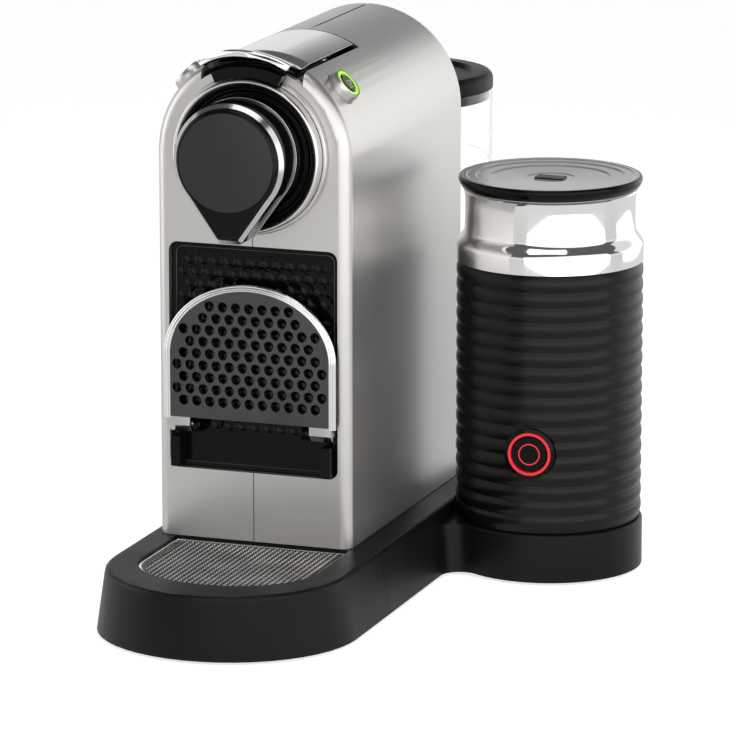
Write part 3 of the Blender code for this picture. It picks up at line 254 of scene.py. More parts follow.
def make_materials():
    """Every look on the machine, by name; most are named after the CAD's material slot."""
    warm = (1.0, 0.975, 0.945)
    surface(
        "silver_casing", colour(0.52, warm), metallic=0.9, roughness=0.32, rough_spread=0.03,
        mottle=18, mottle_amount=0.03, grain=2600, grain_depth=0.00001,
    )
    surface(
        "bezel_silver", colour(0.62, warm), metallic=1.0, roughness=0.2, rough_spread=0.03,
        mottle=20, mottle_amount=0.03, grain=2600, grain_depth=0.000006,
    )
    # Bright metal for the hinge barrels; on the outlet's gloss black edges it is a painted
    # highlight
    surface(
        "bright_metal_and_painted_highlight", colour(0.50, warm), metallic=1.0, roughness=0.16, rough_spread=0.03,
        mottle=20, mottle_amount=0.03, grain=2600, grain_depth=0.000006,
    )
    surface(
        "black_matte", colour(0.004), roughness=0.36, rough_spread=0.05, mottle=25,
        mottle_amount=0.25, grain=1500, grain_depth=0.00002, specular=0.14,
    )
    surface(
        "face_satin", colour(0.006, warm), roughness=0.34, rough_spread=0.03,
        mottle=25, mottle_amount=0.2, grain=1500, grain_depth=0.000008, specular=0.42,
    )
    surface(
        "black_gloss", colour(0.002), roughness=0.09, rough_spread=0.03, mottle=25,
        mottle_amount=0.3, grain=900, grain_depth=0.000003, specular=0.13,
    )
    surface(
        "sleeve_black", colour(0.003), roughness=0.28, rough_spread=0.03, mottle=30,
        mottle_amount=0.2, grain=1800, grain_depth=0.00001, specular=0.2,
    )
    surface(
        "knob_metal", colour(0.62, warm), metallic=1.0, roughness=0.14, rough_spread=0.05,
        mottle=60, mottle_amount=0.1, grain=900, grain_depth=0.00001,
    )
    surface(
        "chrome", colour(0.80, (1.0, 0.995, 0.985)), metallic=1.0, roughness=0.06,
        rough_spread=0.02, mottle=15, mottle_amount=0.02, grain=700, grain_depth=0.000002,
    )
    surface(
        "clear_plastic", colour(0.995), roughness=0.02, rough_spread=0.01, mottle=12,
        mottle_amount=0.005, grain=300, grain_depth=0.000002, transmission=1.0, ior=1.33,
    )
    surface(
        "smoke_plastic", colour(0.34, (1.0, 0.96, 0.93)), roughness=0.12,
        rough_spread=0.02, mottle=12, mottle_amount=0.04, grain=300, grain_depth=0.000002,
        transmission=0.25, ior=1.46,
    )
    surface(
        "dark_metal", colour(0.07, warm), metallic=0.9, roughness=0.34, rough_spread=0.05,
        mottle=40, mottle_amount=0.1, grain=2000, grain_depth=0.00001,
    )
    surface(
        "stainless", colour(0.55), metallic=1.0, roughness=0.24, rough_spread=0.06, mottle=60,
        mottle_amount=0.06, grain=900, grain_depth=0.00001, stretch=(1, 14, 1),
    )
    surface(
        "aluminium", colour(0.5), metallic=1.0, roughness=0.38, rough_spread=0.08, mottle=50,
        mottle_amount=0.08, grain=1200, grain_depth=0.00002,
    )
    surface(
        "rubber", colour(0.02), roughness=0.7, rough_spread=0.08, mottle=60,
        mottle_amount=0.2, grain=900, grain_depth=0.00004,
    )
    surface(
        "silicone", colour(0.6, (1.0, 0.96, 0.9)), roughness=0.45, rough_spread=0.05,
        mottle=50, mottle_amount=0.05, grain=900, grain_depth=0.00002,
    )
    surface(
        "board_green", (0.02, 0.13, 0.05, 1), roughness=0.35, rough_spread=0.08,
        mottle=260, mottle_amount=0.35, grain=900, grain_depth=0.00004,
    )
    surface(
        "glow_green", (0.30, 0.62, 0.02, 1), roughness=0.3, rough_spread=0.03,
        mottle=60, mottle_amount=0.05, grain=900, grain_depth=0.000005, glow=(0.33, 0.75, 0.02, 1),
        glow_strength=0.55,
    )
    surface(
        "glow_red", (0.5, 0.01, 0.015, 1), roughness=0.3, rough_spread=0.03,
        mottle=60, mottle_amount=0.05, grain=900, grain_depth=0.000005, glow=(0.7, 0.010, 0.03, 1),
        glow_strength=0.4,
    )
    surface(
        "symbol_pale", colour(0.45, (0.9, 1.0, 0.7)), roughness=0.35,
        rough_spread=0.03, mottle=60, mottle_amount=0.05, grain=900,
    )


# ---------------------------------------------------------------- mesh helpers

# The most of a side that one rounded corner takes, and the smallest radius worth rounding
SIDE_SHARE = 0.48
SMALLEST_FILLET = 1e-6
ON_AXIS = 1e-7


def arc(across, up, radius, start, end, count, tall=None):
    """Points on an arc, angles in degrees from +across towards +up."""
    tall = radius if tall is None else tall
    return [
        (
            across + radius * cos(radians(start + (end - start) * i / count)),
            up + tall * sin(radians(start + (end - start) * i / count)),
        )
        for i in range(count + 1)
    ]


def filleted(points, radii, count=4):
    """An open polyline with its corners rounded, by one radius for each point."""
    made = []
    for i, corner in enumerate(points):
        if i in (0, len(points) - 1):
            made.append(tuple(corner))
            continue
        here = Vector(corner)
        before = Vector(points[i - 1]) - here
        after = Vector(points[i + 1]) - here
        reach = min(radii[i], before.length * SIDE_SHARE, after.length * SIDE_SHARE)
        if reach < SMALLEST_FILLET:
            made.append(tuple(corner))
            continue
        start = here + before.normalized() * reach
        end = here + after.normalized() * reach
        for k in range(count + 1):
            t = k / count
            at = start * (1 - t) ** 2 + here * 2 * t * (1 - t) + end * t**2
            made.append(tuple(at))
    return made


def finish_piece(made, slot, body, replaced=(), angle=32.0, look=None):
    """Moves a new mesh object to the shared frame, smooths it and says what it rides on."""
    mesh = made.data
    mesh.transform(Matrix.Translation(ORIGIN))
    mesh.validate()
    mesh.shade_smooth()
    mesh.set_sharp_from_angle(angle=radians(angle))
    mesh.materials.clear()
    mesh.materials.append(MATERIALS[look or slot])
    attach(made, body)
    if replaced:
        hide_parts(*replaced)
    return made


def object_of(name, points, faces):
    """A new mesh object in the scene."""
    mesh = bpy.data.meshes.new(name)
    mesh.from_pydata([tuple(p) for p in points], [], faces)
    mesh.update()
    made = bpy.data.objects.new(name, mesh)
    bpy.context.scene.collection.objects.link(made)
    return made


def lathe(name, profile, at, towards=(0, 0, 1), steps=96, ring=False):
    """Turns (radius, height) points about an axis through at; a ring's profile closes on itself."""
    turn = Vector((0, 0, 1)).rotation_difference(Vector(towards)).to_matrix()
    at = Vector(at)
    points = []
    rows = []
    for radius, height in profile:
        if radius < ON_AXIS:
            rows.append([len(points)])
            points.append(at + turn @ Vector((0, 0, height)))
            continue
        rows.append(list(range(len(points), len(points) + steps)))
        for i in range(steps):
            angle = 2 * pi * i / steps
            points.append(at + turn @ Vector((radius * cos(angle), radius * sin(angle), height)))
    faces = []
    pairs = list(zip(rows, rows[1:]))
    if ring:
        pairs.append((rows[-1], rows[0]))
    for first, second in pairs:
        for i in range(steps):
            j = (i + 1) % steps
            if len(first) == 1 and len(second) == 1:
                continue
            if len(first) == 1:
                faces.append((first[0], second[j], second[i]))
            elif len(second) == 1:
                faces.append((first[i], first[j], second[0]))
            else:
                faces.append((first[i], first[j], second[j], second[i]))
    made = object_of(name, points, faces)
    outward(made)
    return made


def outward(made):
    """Faces turned outwards, by the signed volume of the closed mesh."""
    mesh = made.data
    volume = 0.0
    for face in mesh.polygons:
        corners = [mesh.vertices[i].co for i in face.vertices]
        for i in range(1, len(corners) - 1):
            volume += corners[0].dot(corners[i].cross(corners[i + 1]))
    if volume < 0:
        mesh.flip_normals()
    return made


def loft(name, rings, caps=True):
    """Joins equal rings of 3-D points in order; caps closes the first and last."""
    points = [p for ring in rings for p in ring]
    count = len(rings[0])
    faces = []
    for row in range(len(rings) - 1):
        for i in range(count):
            j = (i + 1) % count
            low = row * count
            faces.append((low + i, low + j, low + count + j, low + count + i))
    if caps:
        faces.append(tuple(reversed(range(count))))
        faces.append(tuple(range(len(points) - count, len(points))))
    made = object_of(name, points, faces)
    outward(made)
    return made


def merged(name, *parts):
    """Joins several mesh objects into one new one."""
    points = []
    faces = []
    for part in parts:
        start = len(points)
        points += [tuple(v.co) for v in part.data.vertices]
        faces += [tuple(start + i for i in face.vertices) for face in part.data.polygons]
        bpy.data.objects.remove(part)
    return object_of(name, points, faces)


def from_curve(name, curve):
    """The mesh of a curve, as a new object."""
    holder = bpy.data.objects.new("outline", curve)
    bpy.context.scene.collection.objects.link(holder)
    graph = bpy.context.evaluated_depsgraph_get()
    mesh = bpy.data.meshes.new_from_object(holder.evaluated_get(graph))
    mesh.name = name
    bpy.data.objects.remove(holder)
    made = bpy.data.objects.new(name, mesh)
    bpy.context.scene.collection.objects.link(made)
    return made


def sheet(name, axis, low, high, loops, edge=0.0, edge_steps=2):
    """An outline with holes, extruded along an axis, its edges rounded by edge.

    Points are (y, z) for axis x, (x, z) for axis y and (x, y) for axis z.
    """
    curve = bpy.data.curves.new(name, "CURVE")
    curve.dimensions = "2D"
    curve.fill_mode = "BOTH"
    curve.extrude = (high - low) / 2 - edge
    curve.bevel_depth = edge
    curve.bevel_resolution = edge_steps
    curve.offset = -edge
    for loop in loops:
        spline = curve.splines.new("POLY")
        spline.points.add(len(loop) - 1)
        spline.use_cyclic_u = True
        for point, (across, up) in zip(spline.points, loop):
            point.co = (across, up, 0, 1)
    made = from_curve(name, curve)
    middle = (low + high) / 2
    spin = {
        "x": Matrix(((0, 0, 1, middle), (1, 0, 0, 0), (0, 1, 0, 0), (0, 0, 0, 1))),
        "y": Matrix(((1, 0, 0, 0), (0, 0, -1, middle), (0, 1, 0, 0), (0, 0, 0, 1))),
        "z": Matrix.Translation((0, 0, middle)),
    }[axis]
    made.data.transform(spin)
    return made


def cut(made, cutter):
    """Takes the cutter out of the mesh of made, and removes the cutter."""
    step = made.modifiers.new("hole", "BOOLEAN")
    step.operation = "DIFFERENCE"
    step.solver = "EXACT"
    step.object = cutter
    graph = bpy.context.evaluated_depsgraph_get()
    mesh = bpy.data.meshes.new_from_object(made.evaluated_get(graph))
    made.modifiers.clear()
    made.data = mesh
    bpy.data.objects.remove(cutter)


def tube(name, points, radius, closed=False, sides=3):
    """A round bar along a line of points."""
    curve = bpy.data.curves.new(name, "CURVE")
    curve.dimensions = "3D"
    curve.bevel_depth = radius
    curve.bevel_resolution = sides
    curve.use_fill_caps = True
    spline = curve.splines.new("POLY")
    spline.points.add(len(points) - 1)
    spline.use_cyclic_u = closed
    for point, place in zip(spline.points, points):
        point.co = (*place, 1)
    return from_curve(name, curve)


def rounded_rectangle(left, low, right, high, radius, count=5):
    """The outline of a rectangle with round corners."""
    return [
        *arc(right - radius, high - radius, radius, 0, 90, count),
        *arc(left + radius, high - radius, radius, 90, 180, count),
        *arc(left + radius, low + radius, radius, 180, 270, count),
        *arc(right - radius, low + radius, radius, 270, 360, count),
    ]


# ---------------------------------------------------------------- frother


def frother_direction():
    """From the frother's axis to its button."""
    return Vector((sin(BUTTON_TURN), -cos(BUTTON_TURN), 0))


def ribbed_sleeve():
    """Black sleeve with soft ribs and a round hole for the button's housing."""
    low = SLEEVE_LOW + RIB_START
    high = SLEEVE_HIGH - RIB_END
    pitch = (high - low) / RIBS
    valley = SLEEVE_RADIUS - RIB_DEPTH
    low_edge = 0.0004
    high_edge = 0.0006
    steps = 10
    profile = [
        (SLEEVE_INNER, SLEEVE_LOW), (valley - low_edge, SLEEVE_LOW),
        (valley, SLEEVE_LOW + low_edge),
    ]
    for rib in range(RIBS):
        for i in range(steps):
            across = i / steps * 2 - 1
            bulge = (1 - abs(across) ** RIB_ROUND) * RIB_DEPTH
            profile.append((valley + bulge, low + pitch * (rib + i / steps)))
    profile += [(valley, high), (valley - high_edge, SLEEVE_HIGH), (SLEEVE_INNER, SLEEVE_HIGH)]
    sleeve = lathe("sleeve_ribbed", profile, (FROTHER.x, FROTHER.y, 0), steps=128, ring=True)

    bore = HOUSING_RADIUS + GAP
    near = 0.02
    far = 0.07
    plug = lathe(
        "housing_hole", [(0, near), (bore, near), (bore, far), (0, far)],
        (FROTHER.x, FROTHER.y, BUTTON_Z), frother_direction(), 64,
    )
    cut(sleeve, plug)
    finish_piece(
        sleeve, "black_matte", "frother_jug", ["frother_sleeve"], 50, look="sleeve_black"
    )


def jug():
    """Bright steel collar over the sleeve: a band, a soft concave shoulder and a plain neck."""
    pot = SLEEVE_INNER - GAP
    pot_inner = pot - JUG_WALL
    neck_inner = NECK_RADIUS - JUG_WALL
    floor = JUG_BOTTOM + JUG_WALL
    base = SLEEVE_HIGH + GAP
    edge = 0.0004
    steps = 12
    shoulder = []
    for i in range(steps + 1):
        share = i / steps
        ease = (1 - cos(pi * share)) / 2
        radius = SLEEVE_RADIUS + (NECK_RADIUS + NECK_FLARE - SLEEVE_RADIUS) * ease
        shoulder.append((radius, SHOULDER_LOW + SHOULDER_TALL * share))
    pot_outline = [(0, JUG_BOTTOM), (pot, JUG_BOTTOM), (pot, base), (SLEEVE_RADIUS, base)]
    outer = [
        *filleted(pot_outline, [0, JUG_FILLET, edge, 0]), (SLEEVE_RADIUS, base + edge), *shoulder,
        (NECK_RADIUS, NECK_LOW), (NECK_RADIUS, NECK_HIGH), (NECK_RADIUS + NECK_FLARE, NECK_TOP),
        (RIM_RADIUS, RIM_Z - 0.0006), (RIM_RADIUS - edge, RIM_Z),
    ]
    inner = [
        (RIM_RADIUS - JUG_WALL, RIM_Z), (neck_inner, 0.1915), (neck_inner, 0.176),
        (pot_inner, 0.164), (pot_inner, floor + JUG_FILLET), (pot_inner - JUG_FILLET, floor),
        (0, floor),
    ]
    made = lathe("jug_steel", [*outer, *inner], (FROTHER.x, FROTHER.y, 0), steps=144)
    finish_piece(made, "chrome", "frother_jug", ["frother_jug"], 40)


def frother_lid():
    """Smoked cover: shallow steps down to a flat window, and a plug into the neck."""
    plug = NECK_RADIUS - JUG_WALL - LID_PLAY
    plug_inner = plug - LID_WALL
    plate = RIM_Z + GAP
    plug_low = plate - LID_PLUG
    under = LID_TOP - LID_THICK
    # Radius and depth below the top of each edge of the steps, from the middle outwards
    steps = [
        (0, 0.0020), (0.0120, 0.0020), (0.0124, 0.0016), (0.0300, 0.0016), (0.0306, 0.0010),
        (0.0372, 0.0010), (0.0378, 0.0004), (0.0420, 0.0004), (0.0426, 0),
    ]
    outline = [
        *((radius, LID_TOP - depth) for radius, depth in steps),
        (LID_RADIUS - 0.0012, LID_TOP), (LID_RADIUS, LID_TOP - 0.0012),
        (LID_RADIUS - 0.0004, LID_TOP - 0.0030), (RIM_RADIUS + 0.0006, plate + 0.0010),
        (RIM_RADIUS, plate), (plug, plate), (plug, plug_low), (plug_inner, plug_low),
        (plug_inner, under), (0, under),
    ]
    step_round = 0.0003
    radii = [
        0, *[step_round] * 7, 0.0004, 0.0010, 0.0010, 0.001, 0.001, 0, 0, 0.0003, 0.0003, 0.0005, 0
    ]
    cover = lathe(
        "frother_cover", filleted(outline, radii), (FROTHER.x, FROTHER.y, 0), steps=128
    )
    finish_piece(cover, "smoke_plastic", "frother_lid", ["frother_lid"], 40)


def frother_lid_rim():
    """The cover's dark rounded rim, a thin skin over the smoked plastic."""
    proud = LID_TOP + 0.00005
    rim = [
        (LID_RADIUS - 0.0022, LID_TOP - 0.0006), (LID_RADIUS - 0.0018, proud),
        (LID_RADIUS - 0.0008, proud), (LID_RADIUS + 0.0001, LID_TOP - 0.0012),
        (LID_RADIUS - 0.0002, LID_TOP - 0.0032), (RIM_RADIUS + 0.0009, RIM_Z + GAP + 0.0008),
    ]
    outer = filleted(rim, [0, 0.0004, 0.0008, 0.0010, 0.001, 0])
    inner = [(radius - 0.0006, height - 0.0003) for radius, height in reversed(outer)]
    at = (FROTHER.x, FROTHER.y, 0)
    band = lathe("frother_cover_rim", [*outer, *inner], at, steps=128, ring=True)
    finish_piece(band, "black_matte", "frother_lid", (), 40, look="black_gloss")


def frother_lid_socket():
    """The small dark socket that shows through the window."""
    half_x = 0.0075
    half_y = 0.0045
    outline = rounded_rectangle(
        FROTHER.x - half_x, FROTHER.y - half_y, FROTHER.x + half_x, FROTHER.y + half_y, 0.001
    )
    low = LID_TOP - 0.0021
    high = LID_TOP - 0.0013
    socket = sheet("frother_cover_socket", "z", low, high, [outline], 0.0002, 2)
    finish_piece(socket, "black_matte", "frother_lid", (), 40)


def frother_symbols():
    """The small lit ring inside the button's lit border."""
    low = SLEEVE_RADIUS + BUTTON_PROUD + 0.00002
    high = SLEEVE_RADIUS + BUTTON_PROUD + 0.00012
    profile = [
        (RED_RING_OUTER, low), (RED_RING_OUTER, high), (RED_RING_INNER, high),
        (RED_RING_INNER, low),
    ]
    centre = (FROTHER.x, FROTHER.y, BUTTON_Z)
    made = lathe("frother_button_ring", profile, centre, frother_direction(), 64, ring=True)
    finish_piece(made, "glow_red", "frother_button", ())


# ---------------------------------------------------------------- panel and cup support


def cell_centres(low, high, half, across=CELL_ACROSS, up=CELL_UP):
    """A honeycomb of centres inside a rectangle about x = 0."""
    made = []
    row = 0
    height = high
    while height >= low:
        shift = (row % 2) * across / 2
        count = int((half - shift) / across)
        for i in range(-count - 1, count + 1):
            x = i * across + shift
            if abs(x) <= half:
                made.append((x, height))
        height -= up
        row += 1
    return made


def panel_lug(side):
    """An ear at the cup support's hinge."""
    pivot_y, pivot_z = CUP_PIVOT
    low, high = sorted((side * LUG_INNER, side * LUG_OUTER))
    rear = PANEL_Y + PANEL_THICK - 0.001
    outline = [
        *arc(pivot_y, pivot_z, LUG_RADIUS, 90, 270, 12), (rear, pivot_z - LUG_RADIUS),
        (rear, pivot_z + LUG_RADIUS),
    ]
    return sheet("lug", "x", low, high, [outline], 0.0003, 1)


def panel_stop(side):
    """An upright rib below the hinge barrel."""
    low, high = sorted((side * STOP_INNER, side * STOP_OUTER))
    top = CUP_PIVOT[1] - STOP_DROP
    outline = rounded_rectangle(low, PANEL_LOW + 0.001, high, top, 0.0008)
    return sheet("rib", "y", -STOP_HALF_DEEP, STOP_HALF_DEEP, [outline], 0.0005, 2)


def panel_dimples(centres):
    """A shallow gloss bowl behind each round hole of the panel's face."""
    edge = CELL_RADIUS + 0.0001
    base = 0.00005
    profile = [
        (0, 0.00015), (0.0014, 0.00020), (0.0024, 0.00035), (edge, 0.00075), (edge, base),
        (0, base),
    ]
    bowls = [lathe("bowl", profile, (x, PANEL_Y + BOWL_BACK, z), (0, -1, 0), 16)
             for x, z in centres]
    dimples = merged("panel_dimples", *bowls)
    finish_piece(dimples, "black_gloss", "container_unit", (), 60)


def panel_ledge_painted_highlight():
    """The fine line inset round the panel's edge, in a metal look lighter than the gloss panel: a
    painted highlight.
    """
    outline = rounded_rectangle(
        -PANEL_HALF + LEDGE_INSET, PANEL_LOW + LEDGE_INSET, PANEL_HALF - LEDGE_INSET,
        PANEL_HIGH - LEDGE_INSET, 0.0035, 6,
    )
    ledge = tube("panel_ledge_painted_highlight", [(x, PANEL_Y, z) for x, z in outline], LEDGE_RADIUS, True, 2)
    # Painted highlight: the ledge on the gloss black panel gets a lighter metal look
    finish_piece(ledge, "black_gloss", "container_unit", (), 60, look="dark_metal")


def honeycomb_panel():
    """Gloss front with a honeycomb of round dimples, an inset ledge line with a painted highlight,
    lugs and side ribs.
    """
    outer = rounded_rectangle(-PANEL_HALF, PANEL_LOW, PANEL_HALF, PANEL_HIGH, 0.0042)
    centres = cell_centres(
        CELL_LOW, PANEL_HIGH - CELL_TOP_MARGIN, PANEL_HALF - CELL_SIDE_MARGIN
    )
    holes = [arc(x, z, CELL_RADIUS, 0, 360, 20)[:-1] for x, z in centres]
    face = sheet("face", "y", PANEL_Y, PANEL_Y + FACE_THICK, [outer, *holes], 0.00022, 1)
    back = sheet("back", "y", PANEL_Y + BOWL_BACK, PANEL_Y + PANEL_THICK, [outer], 0.0002, 1)
    parts = [face, back]
    for side in (-1, 1):
        parts += [panel_lug(side), panel_stop(side)]
    made = merged("panel_honeycomb", *parts)
    finish_piece(made, "black_gloss", "container_unit", ["container_panel"], 40)
    panel_dimples(centres)
    panel_ledge_painted_highlight()


def cup_loop(inset, count=40):
    """The cup support's arched outline, set in from its edge."""
    half = CUP_HALF - inset
    tall = CUP_TOP_Z - CUP_SPRING_Z - inset
    low = CUP_PIVOT[1] + 0.003 + inset
    return [(half, low), *arc(0, CUP_SPRING_Z, half, 0, 180, count, tall), (-half, low)]


def cup_plate():
    """The perforated metal plate."""
    half = CUP_HALF - CUP_BORDER
    tall = CUP_TOP_Z - CUP_SPRING_Z - CUP_BORDER
    centres = cell_centres(
        CUP_PIVOT[1] + CUP_HOLE_LOW, CUP_TOP_Z, CUP_HALF, CUP_HOLE_ACROSS, CUP_HOLE_UP
    )
    holes = []
    for x, z in centres:
        over = max(0.0, z - CUP_SPRING_Z)
        if abs(x) <= half and (x / half) ** 2 + (over / tall) ** 2 <= 1:
            holes.append(arc(x, z, HOLE_RADIUS, 0, 360, 20)[:-1])
    plate = sheet(
        "cup_plate", "y", CUP_FRONT_Y + 0.0003, CUP_BACK_Y - 0.0003, [cup_loop(0.0012), *holes],
        0.0003, 2,
    )
    finish_piece(plate, "dark_metal", "cup_support", ["cup_support"], 40)


def cup_rim():
    """The bright rim: four bars side by side round the arch, as (inset, y)."""
    foot = CUP_PIVOT[1] + 0.0035
    bars = []
    for inset, y in ((0.0007, -0.0055), (0.0007, -0.0044), (0.0018, -0.0057), (0.0029, -0.0055)):
        end = CUP_HALF - inset
        line = [(end, foot), *cup_loop(inset, 48)[1:-1], (-end, foot)]
        bars.append(tube("bar", [(x, y, z) for x, z in line], RIM_BAR_RADIUS, False, 3))
    rim = merged("cup_rim", *bars)
    finish_piece(rim, "chrome", "cup_support", (), 60)


def cup_hinge():
    """A barrel round the hinge pin at each side."""
    pivot_y, pivot_z = CUP_PIVOT
    outline = [
        *arc(pivot_y, pivot_z, BARREL_RADIUS, -90, 90, 14),
        (CUP_BACK_Y - GAP, pivot_z + BARREL_RISE),
        (CUP_FRONT_Y + 2 * GAP, pivot_z + BARREL_RISE), (CUP_FRONT_Y + GAP, pivot_z),
        (pivot_y - 0.002, pivot_z - BARREL_RADIUS),
    ]
    barrels = []
    for side in (-1, 1):
        low, high = sorted((side * BARREL_INNER, side * BARREL_OUTER))
        barrels.append(
            sheet("barrel", "x", low + BARREL_SLACK, high - BARREL_SLACK, [outline], 0.0003, 2)
        )
    hinge = merged("cup_hinge", *barrels)
    finish_piece(hinge, "dark_metal", "cup_support", (), 40, look="bright_metal_and_painted_highlight")


def cup_support():
    """A perforated metal plate in a ribbed bright rim, with a hinge barrel at each side."""
    cup_plate()
    cup_rim()
    cup_hinge()


# ---------------------------------------------------------------- drip grid


def d_shape(half, nose, rear, count=40):
    """The grid's outline: straight sides and a round nose."""
    nose_arc = arc(GRID_X, NOSE_Y, half, 0, -180, count, nose)
    return [(GRID_X + half, rear), *nose_arc, (GRID_X - half, rear)]


def diamond(x, y, half_x, half_y):
    """The four corners of a diamond."""
    return [(x + half_x, y), (x, y + half_y), (x - half_x, y), (x, y - half_y)]


def grid_places(half, nose, rear):
    """Yields (row, x, y) inside the grid's rim, every other row shifted by half a pitch."""
    inner_half = half - GRID_BORDER
    inner_nose = nose - GRID_BORDER
    rows = int((rear - NOSE_Y + nose) / (GRID_PITCH / 2))
    for row in range(1, rows):
        y = rear - row * GRID_PITCH / 2 - 0.0008
        reach = inner_half
        if y < NOSE_Y:
            share = (NOSE_Y - y + 0.0006) / inner_nose
            if share >= 1:
                continue
            reach = inner_half * sqrt(1 - share**2)
        reach -= 0.0010
        shift = (row % 2) * GRID_PITCH / 2
        count = int(reach / GRID_PITCH) + 1
        for i in range(-count, count + 1):
            x = i * GRID_PITCH + shift
            if abs(x) <= reach:
                yield row, x + GRID_X, y


def add_knob(points, faces, x, y, high):
    """Adds a small pyramid with a flat tip to a mesh's points and faces."""
    start = len(points)
    for size, height in ((KNOB_HALF, high - KNOB_TALL), (KNOB_TIP, high)):
        points += [(*corner, height) for corner in diamond(x, y, size, size)]
    for k in range(4):
        j = (k + 1) % 4
        faces.append((start + k, start + j, start + 4 + j, start + 4 + k))
    faces.append((start + 4, start + 5, start + 6, start + 7))
    faces.append((start + 3, start + 2, start + 1, start))


def drip_grid():
    """A pressed grid: rows of small pyramids with slots between them, in a plain rim."""
    low = GRID_BOX[0].z
    high = GRID_BOX[1].z
    half = (GRID_BOX[1].x - GRID_BOX[0].x) / 2
    rear = GRID_BOX[1].y - ORIGIN.y
    nose = NOSE_Y - (GRID_BOX[0].y - ORIGIN.y)
    slot_half_x = 0.0010
    slot_half_y = 0.0007
    holes = []
    points = []
    faces = []
    for row, x, y in grid_places(half, nose, rear):
        if row % 2:
            holes.append(diamond(x, y, slot_half_x, slot_half_y))
        else:
            add_knob(points, faces, x, y, high)
    plate = sheet("grid_plate", "z", low, high - 0.0009, [d_shape(half, nose, rear), *holes])
    finish_piece(plate, "stainless", "grid", ["drip_grid"], 30, look="dark_metal")
    knobs = object_of("grid_knobs", points, faces)
    finish_piece(knobs, "stainless", "grid", (), 20, look="knob_metal")
    outer = d_shape(half, nose, rear, 60)
    inner = d_shape(half - GRID_RIM, nose - GRID_RIM, rear - GRID_RIM, 60)
    rim = sheet("grid_rim", "z", high - 0.0012, high, [outer, inner], 0.0003, 2)
    finish_piece(rim, "stainless", "grid", (), 40, look="chrome")


# ---------------------------------------------------------------- brewing head


def teardrop(inset):
    """A circle with two tangents down to a rounded tip."""
    radius = OUTLET_RADIUS - inset
    tip = OUTLET_TIP_HALF - inset * 0.7
    corner = max(TIP_CORNER_LEAST, TIP_CORNER - inset * 0.5)
    tip_z = OUTLET_TIP_Z + inset + corner
    tip_x = max(TIP_FLAT_LEAST, tip - corner)
    drop = OUTLET_Z - tip_z
    reach = sqrt(drop**2 + tip_x**2)
    lean = 180 / pi * (asin((radius - corner) / reach) + asin(tip_x / reach))
    start = lean - 90
    right = arc(tip_x, tip_z, corner, -90, start, 8)
    top = arc(0, OUTLET_Z, radius, start, 180 - start, 96)
    left = arc(-tip_x, tip_z, corner, 180 - start, 270, 8)
    return [*right, *top, *left]


def outlet_ring(inset, ahead):
    """The teardrop's outline, this far in front of the body's front face."""
    return [(x, -ahead, z) for x, z in teardrop(inset)]


def outlet_body():
    """The gloss teardrop and the round neck behind it."""
    back = OUTLET_BACK
    shoulder = OUTLET_FRONT - CHAMFER_FRONT
    rings = [
        outlet_ring(0.0012, back), outlet_ring(0.0004, back + 0.0003),
        outlet_ring(0.0, back + 0.0012), outlet_ring(0.0, OUTLET_FRONT - CHAMFER_BACK),
        outlet_ring(CHAMFER_WIDE, shoulder),
    ]
    for turn in (25, 50, 70, 90):
        inset = CHAMFER_WIDE + FACE_ROUND * (1 - cos(radians(turn)))
        rise = (CHAMFER_FRONT - 0.0002) * sin(radians(turn))
        rings.append(outlet_ring(inset, shoulder + rise))
    drop = loft("outlet_body", rings)
    front = back + 0.001
    profile = [
        (0, OUTLET_NECK_BACK), (OUTLET_NECK_RADIUS, OUTLET_NECK_BACK), (OUTLET_NECK_RADIUS, front),
        (0, front),
    ]
    neck = lathe("neck", profile, (0, 0, HEAD_Z), (0, -1, 0), 96)
    body = merged("outlet_teardrop", drop, neck)
    finish_piece(body, "black_gloss", "machine", ["coffee_outlet"], 30)


def outlet_lines():
    """Painted highlights: metal-coloured strips on the chamfer round the gloss black front and on
    the thin edge at the back.
    """
    slope = (CHAMFER_BACK - CHAMFER_FRONT) / CHAMFER_WIDE
    start = OUTLET_FRONT - CHAMFER_BACK
    low = CHAMFER_WIDE * 0.08
    high = CHAMFER_WIDE * 0.92
    lift = 0.00018
    border = [
        outlet_ring(low, start + low * slope - lift), outlet_ring(low, start + low * slope + lift),
        outlet_ring(high, start + high * slope + lift),
        outlet_ring(high, start + high * slope - lift),
    ]
    # Painted highlight: a metal-coloured strip where the gloss black chamfer catches light
    line = loft("outlet_border_painted_highlight", border, caps=False)
    finish_piece(line, "black_gloss", "machine", (), 40, look="bright_metal_and_painted_highlight")

    back = OUTLET_BACK
    rear = [
        outlet_ring(-0.0001, back + 0.0003), outlet_ring(-0.0001, back + 0.0010),
        outlet_ring(0.0006, back + 0.0012), outlet_ring(0.0006, back + 0.0001),
    ]
    # Painted highlight: a metal-coloured strip along the gloss black back edge
    edge = loft("outlet_rear_painted_highlight", rear, caps=False)
    finish_piece(edge, "black_gloss", "machine", (), 40, look="bright_metal_and_painted_highlight")


def outlet_face():
    """The slightly crowned satin disc on the teardrop's front."""
    base = OUTLET_FRONT - 0.0010
    edge = OUTLET_FRONT - 0.0001
    steps = 12
    profile = [(DISC_RADIUS, base), (DISC_RADIUS, edge)]
    for i in range(1, steps + 1):
        share = 1 - i / steps
        profile.append((DISC_RADIUS * share, edge + DISC_CROWN * (1 - share**2)))
    profile.append((0, base))
    face = lathe("outlet_face", profile, (0, 0, OUTLET_Z), (0, -1, 0), 128)
    finish_piece(face, "black_gloss", "machine", (), 40, look="face_satin")


def outlet():
    """Gloss teardrop with a painted highlight strip on the chamfer round its front, and a round
    satin face.
    """
    outlet_body()
    outlet_lines()
    outlet_face()


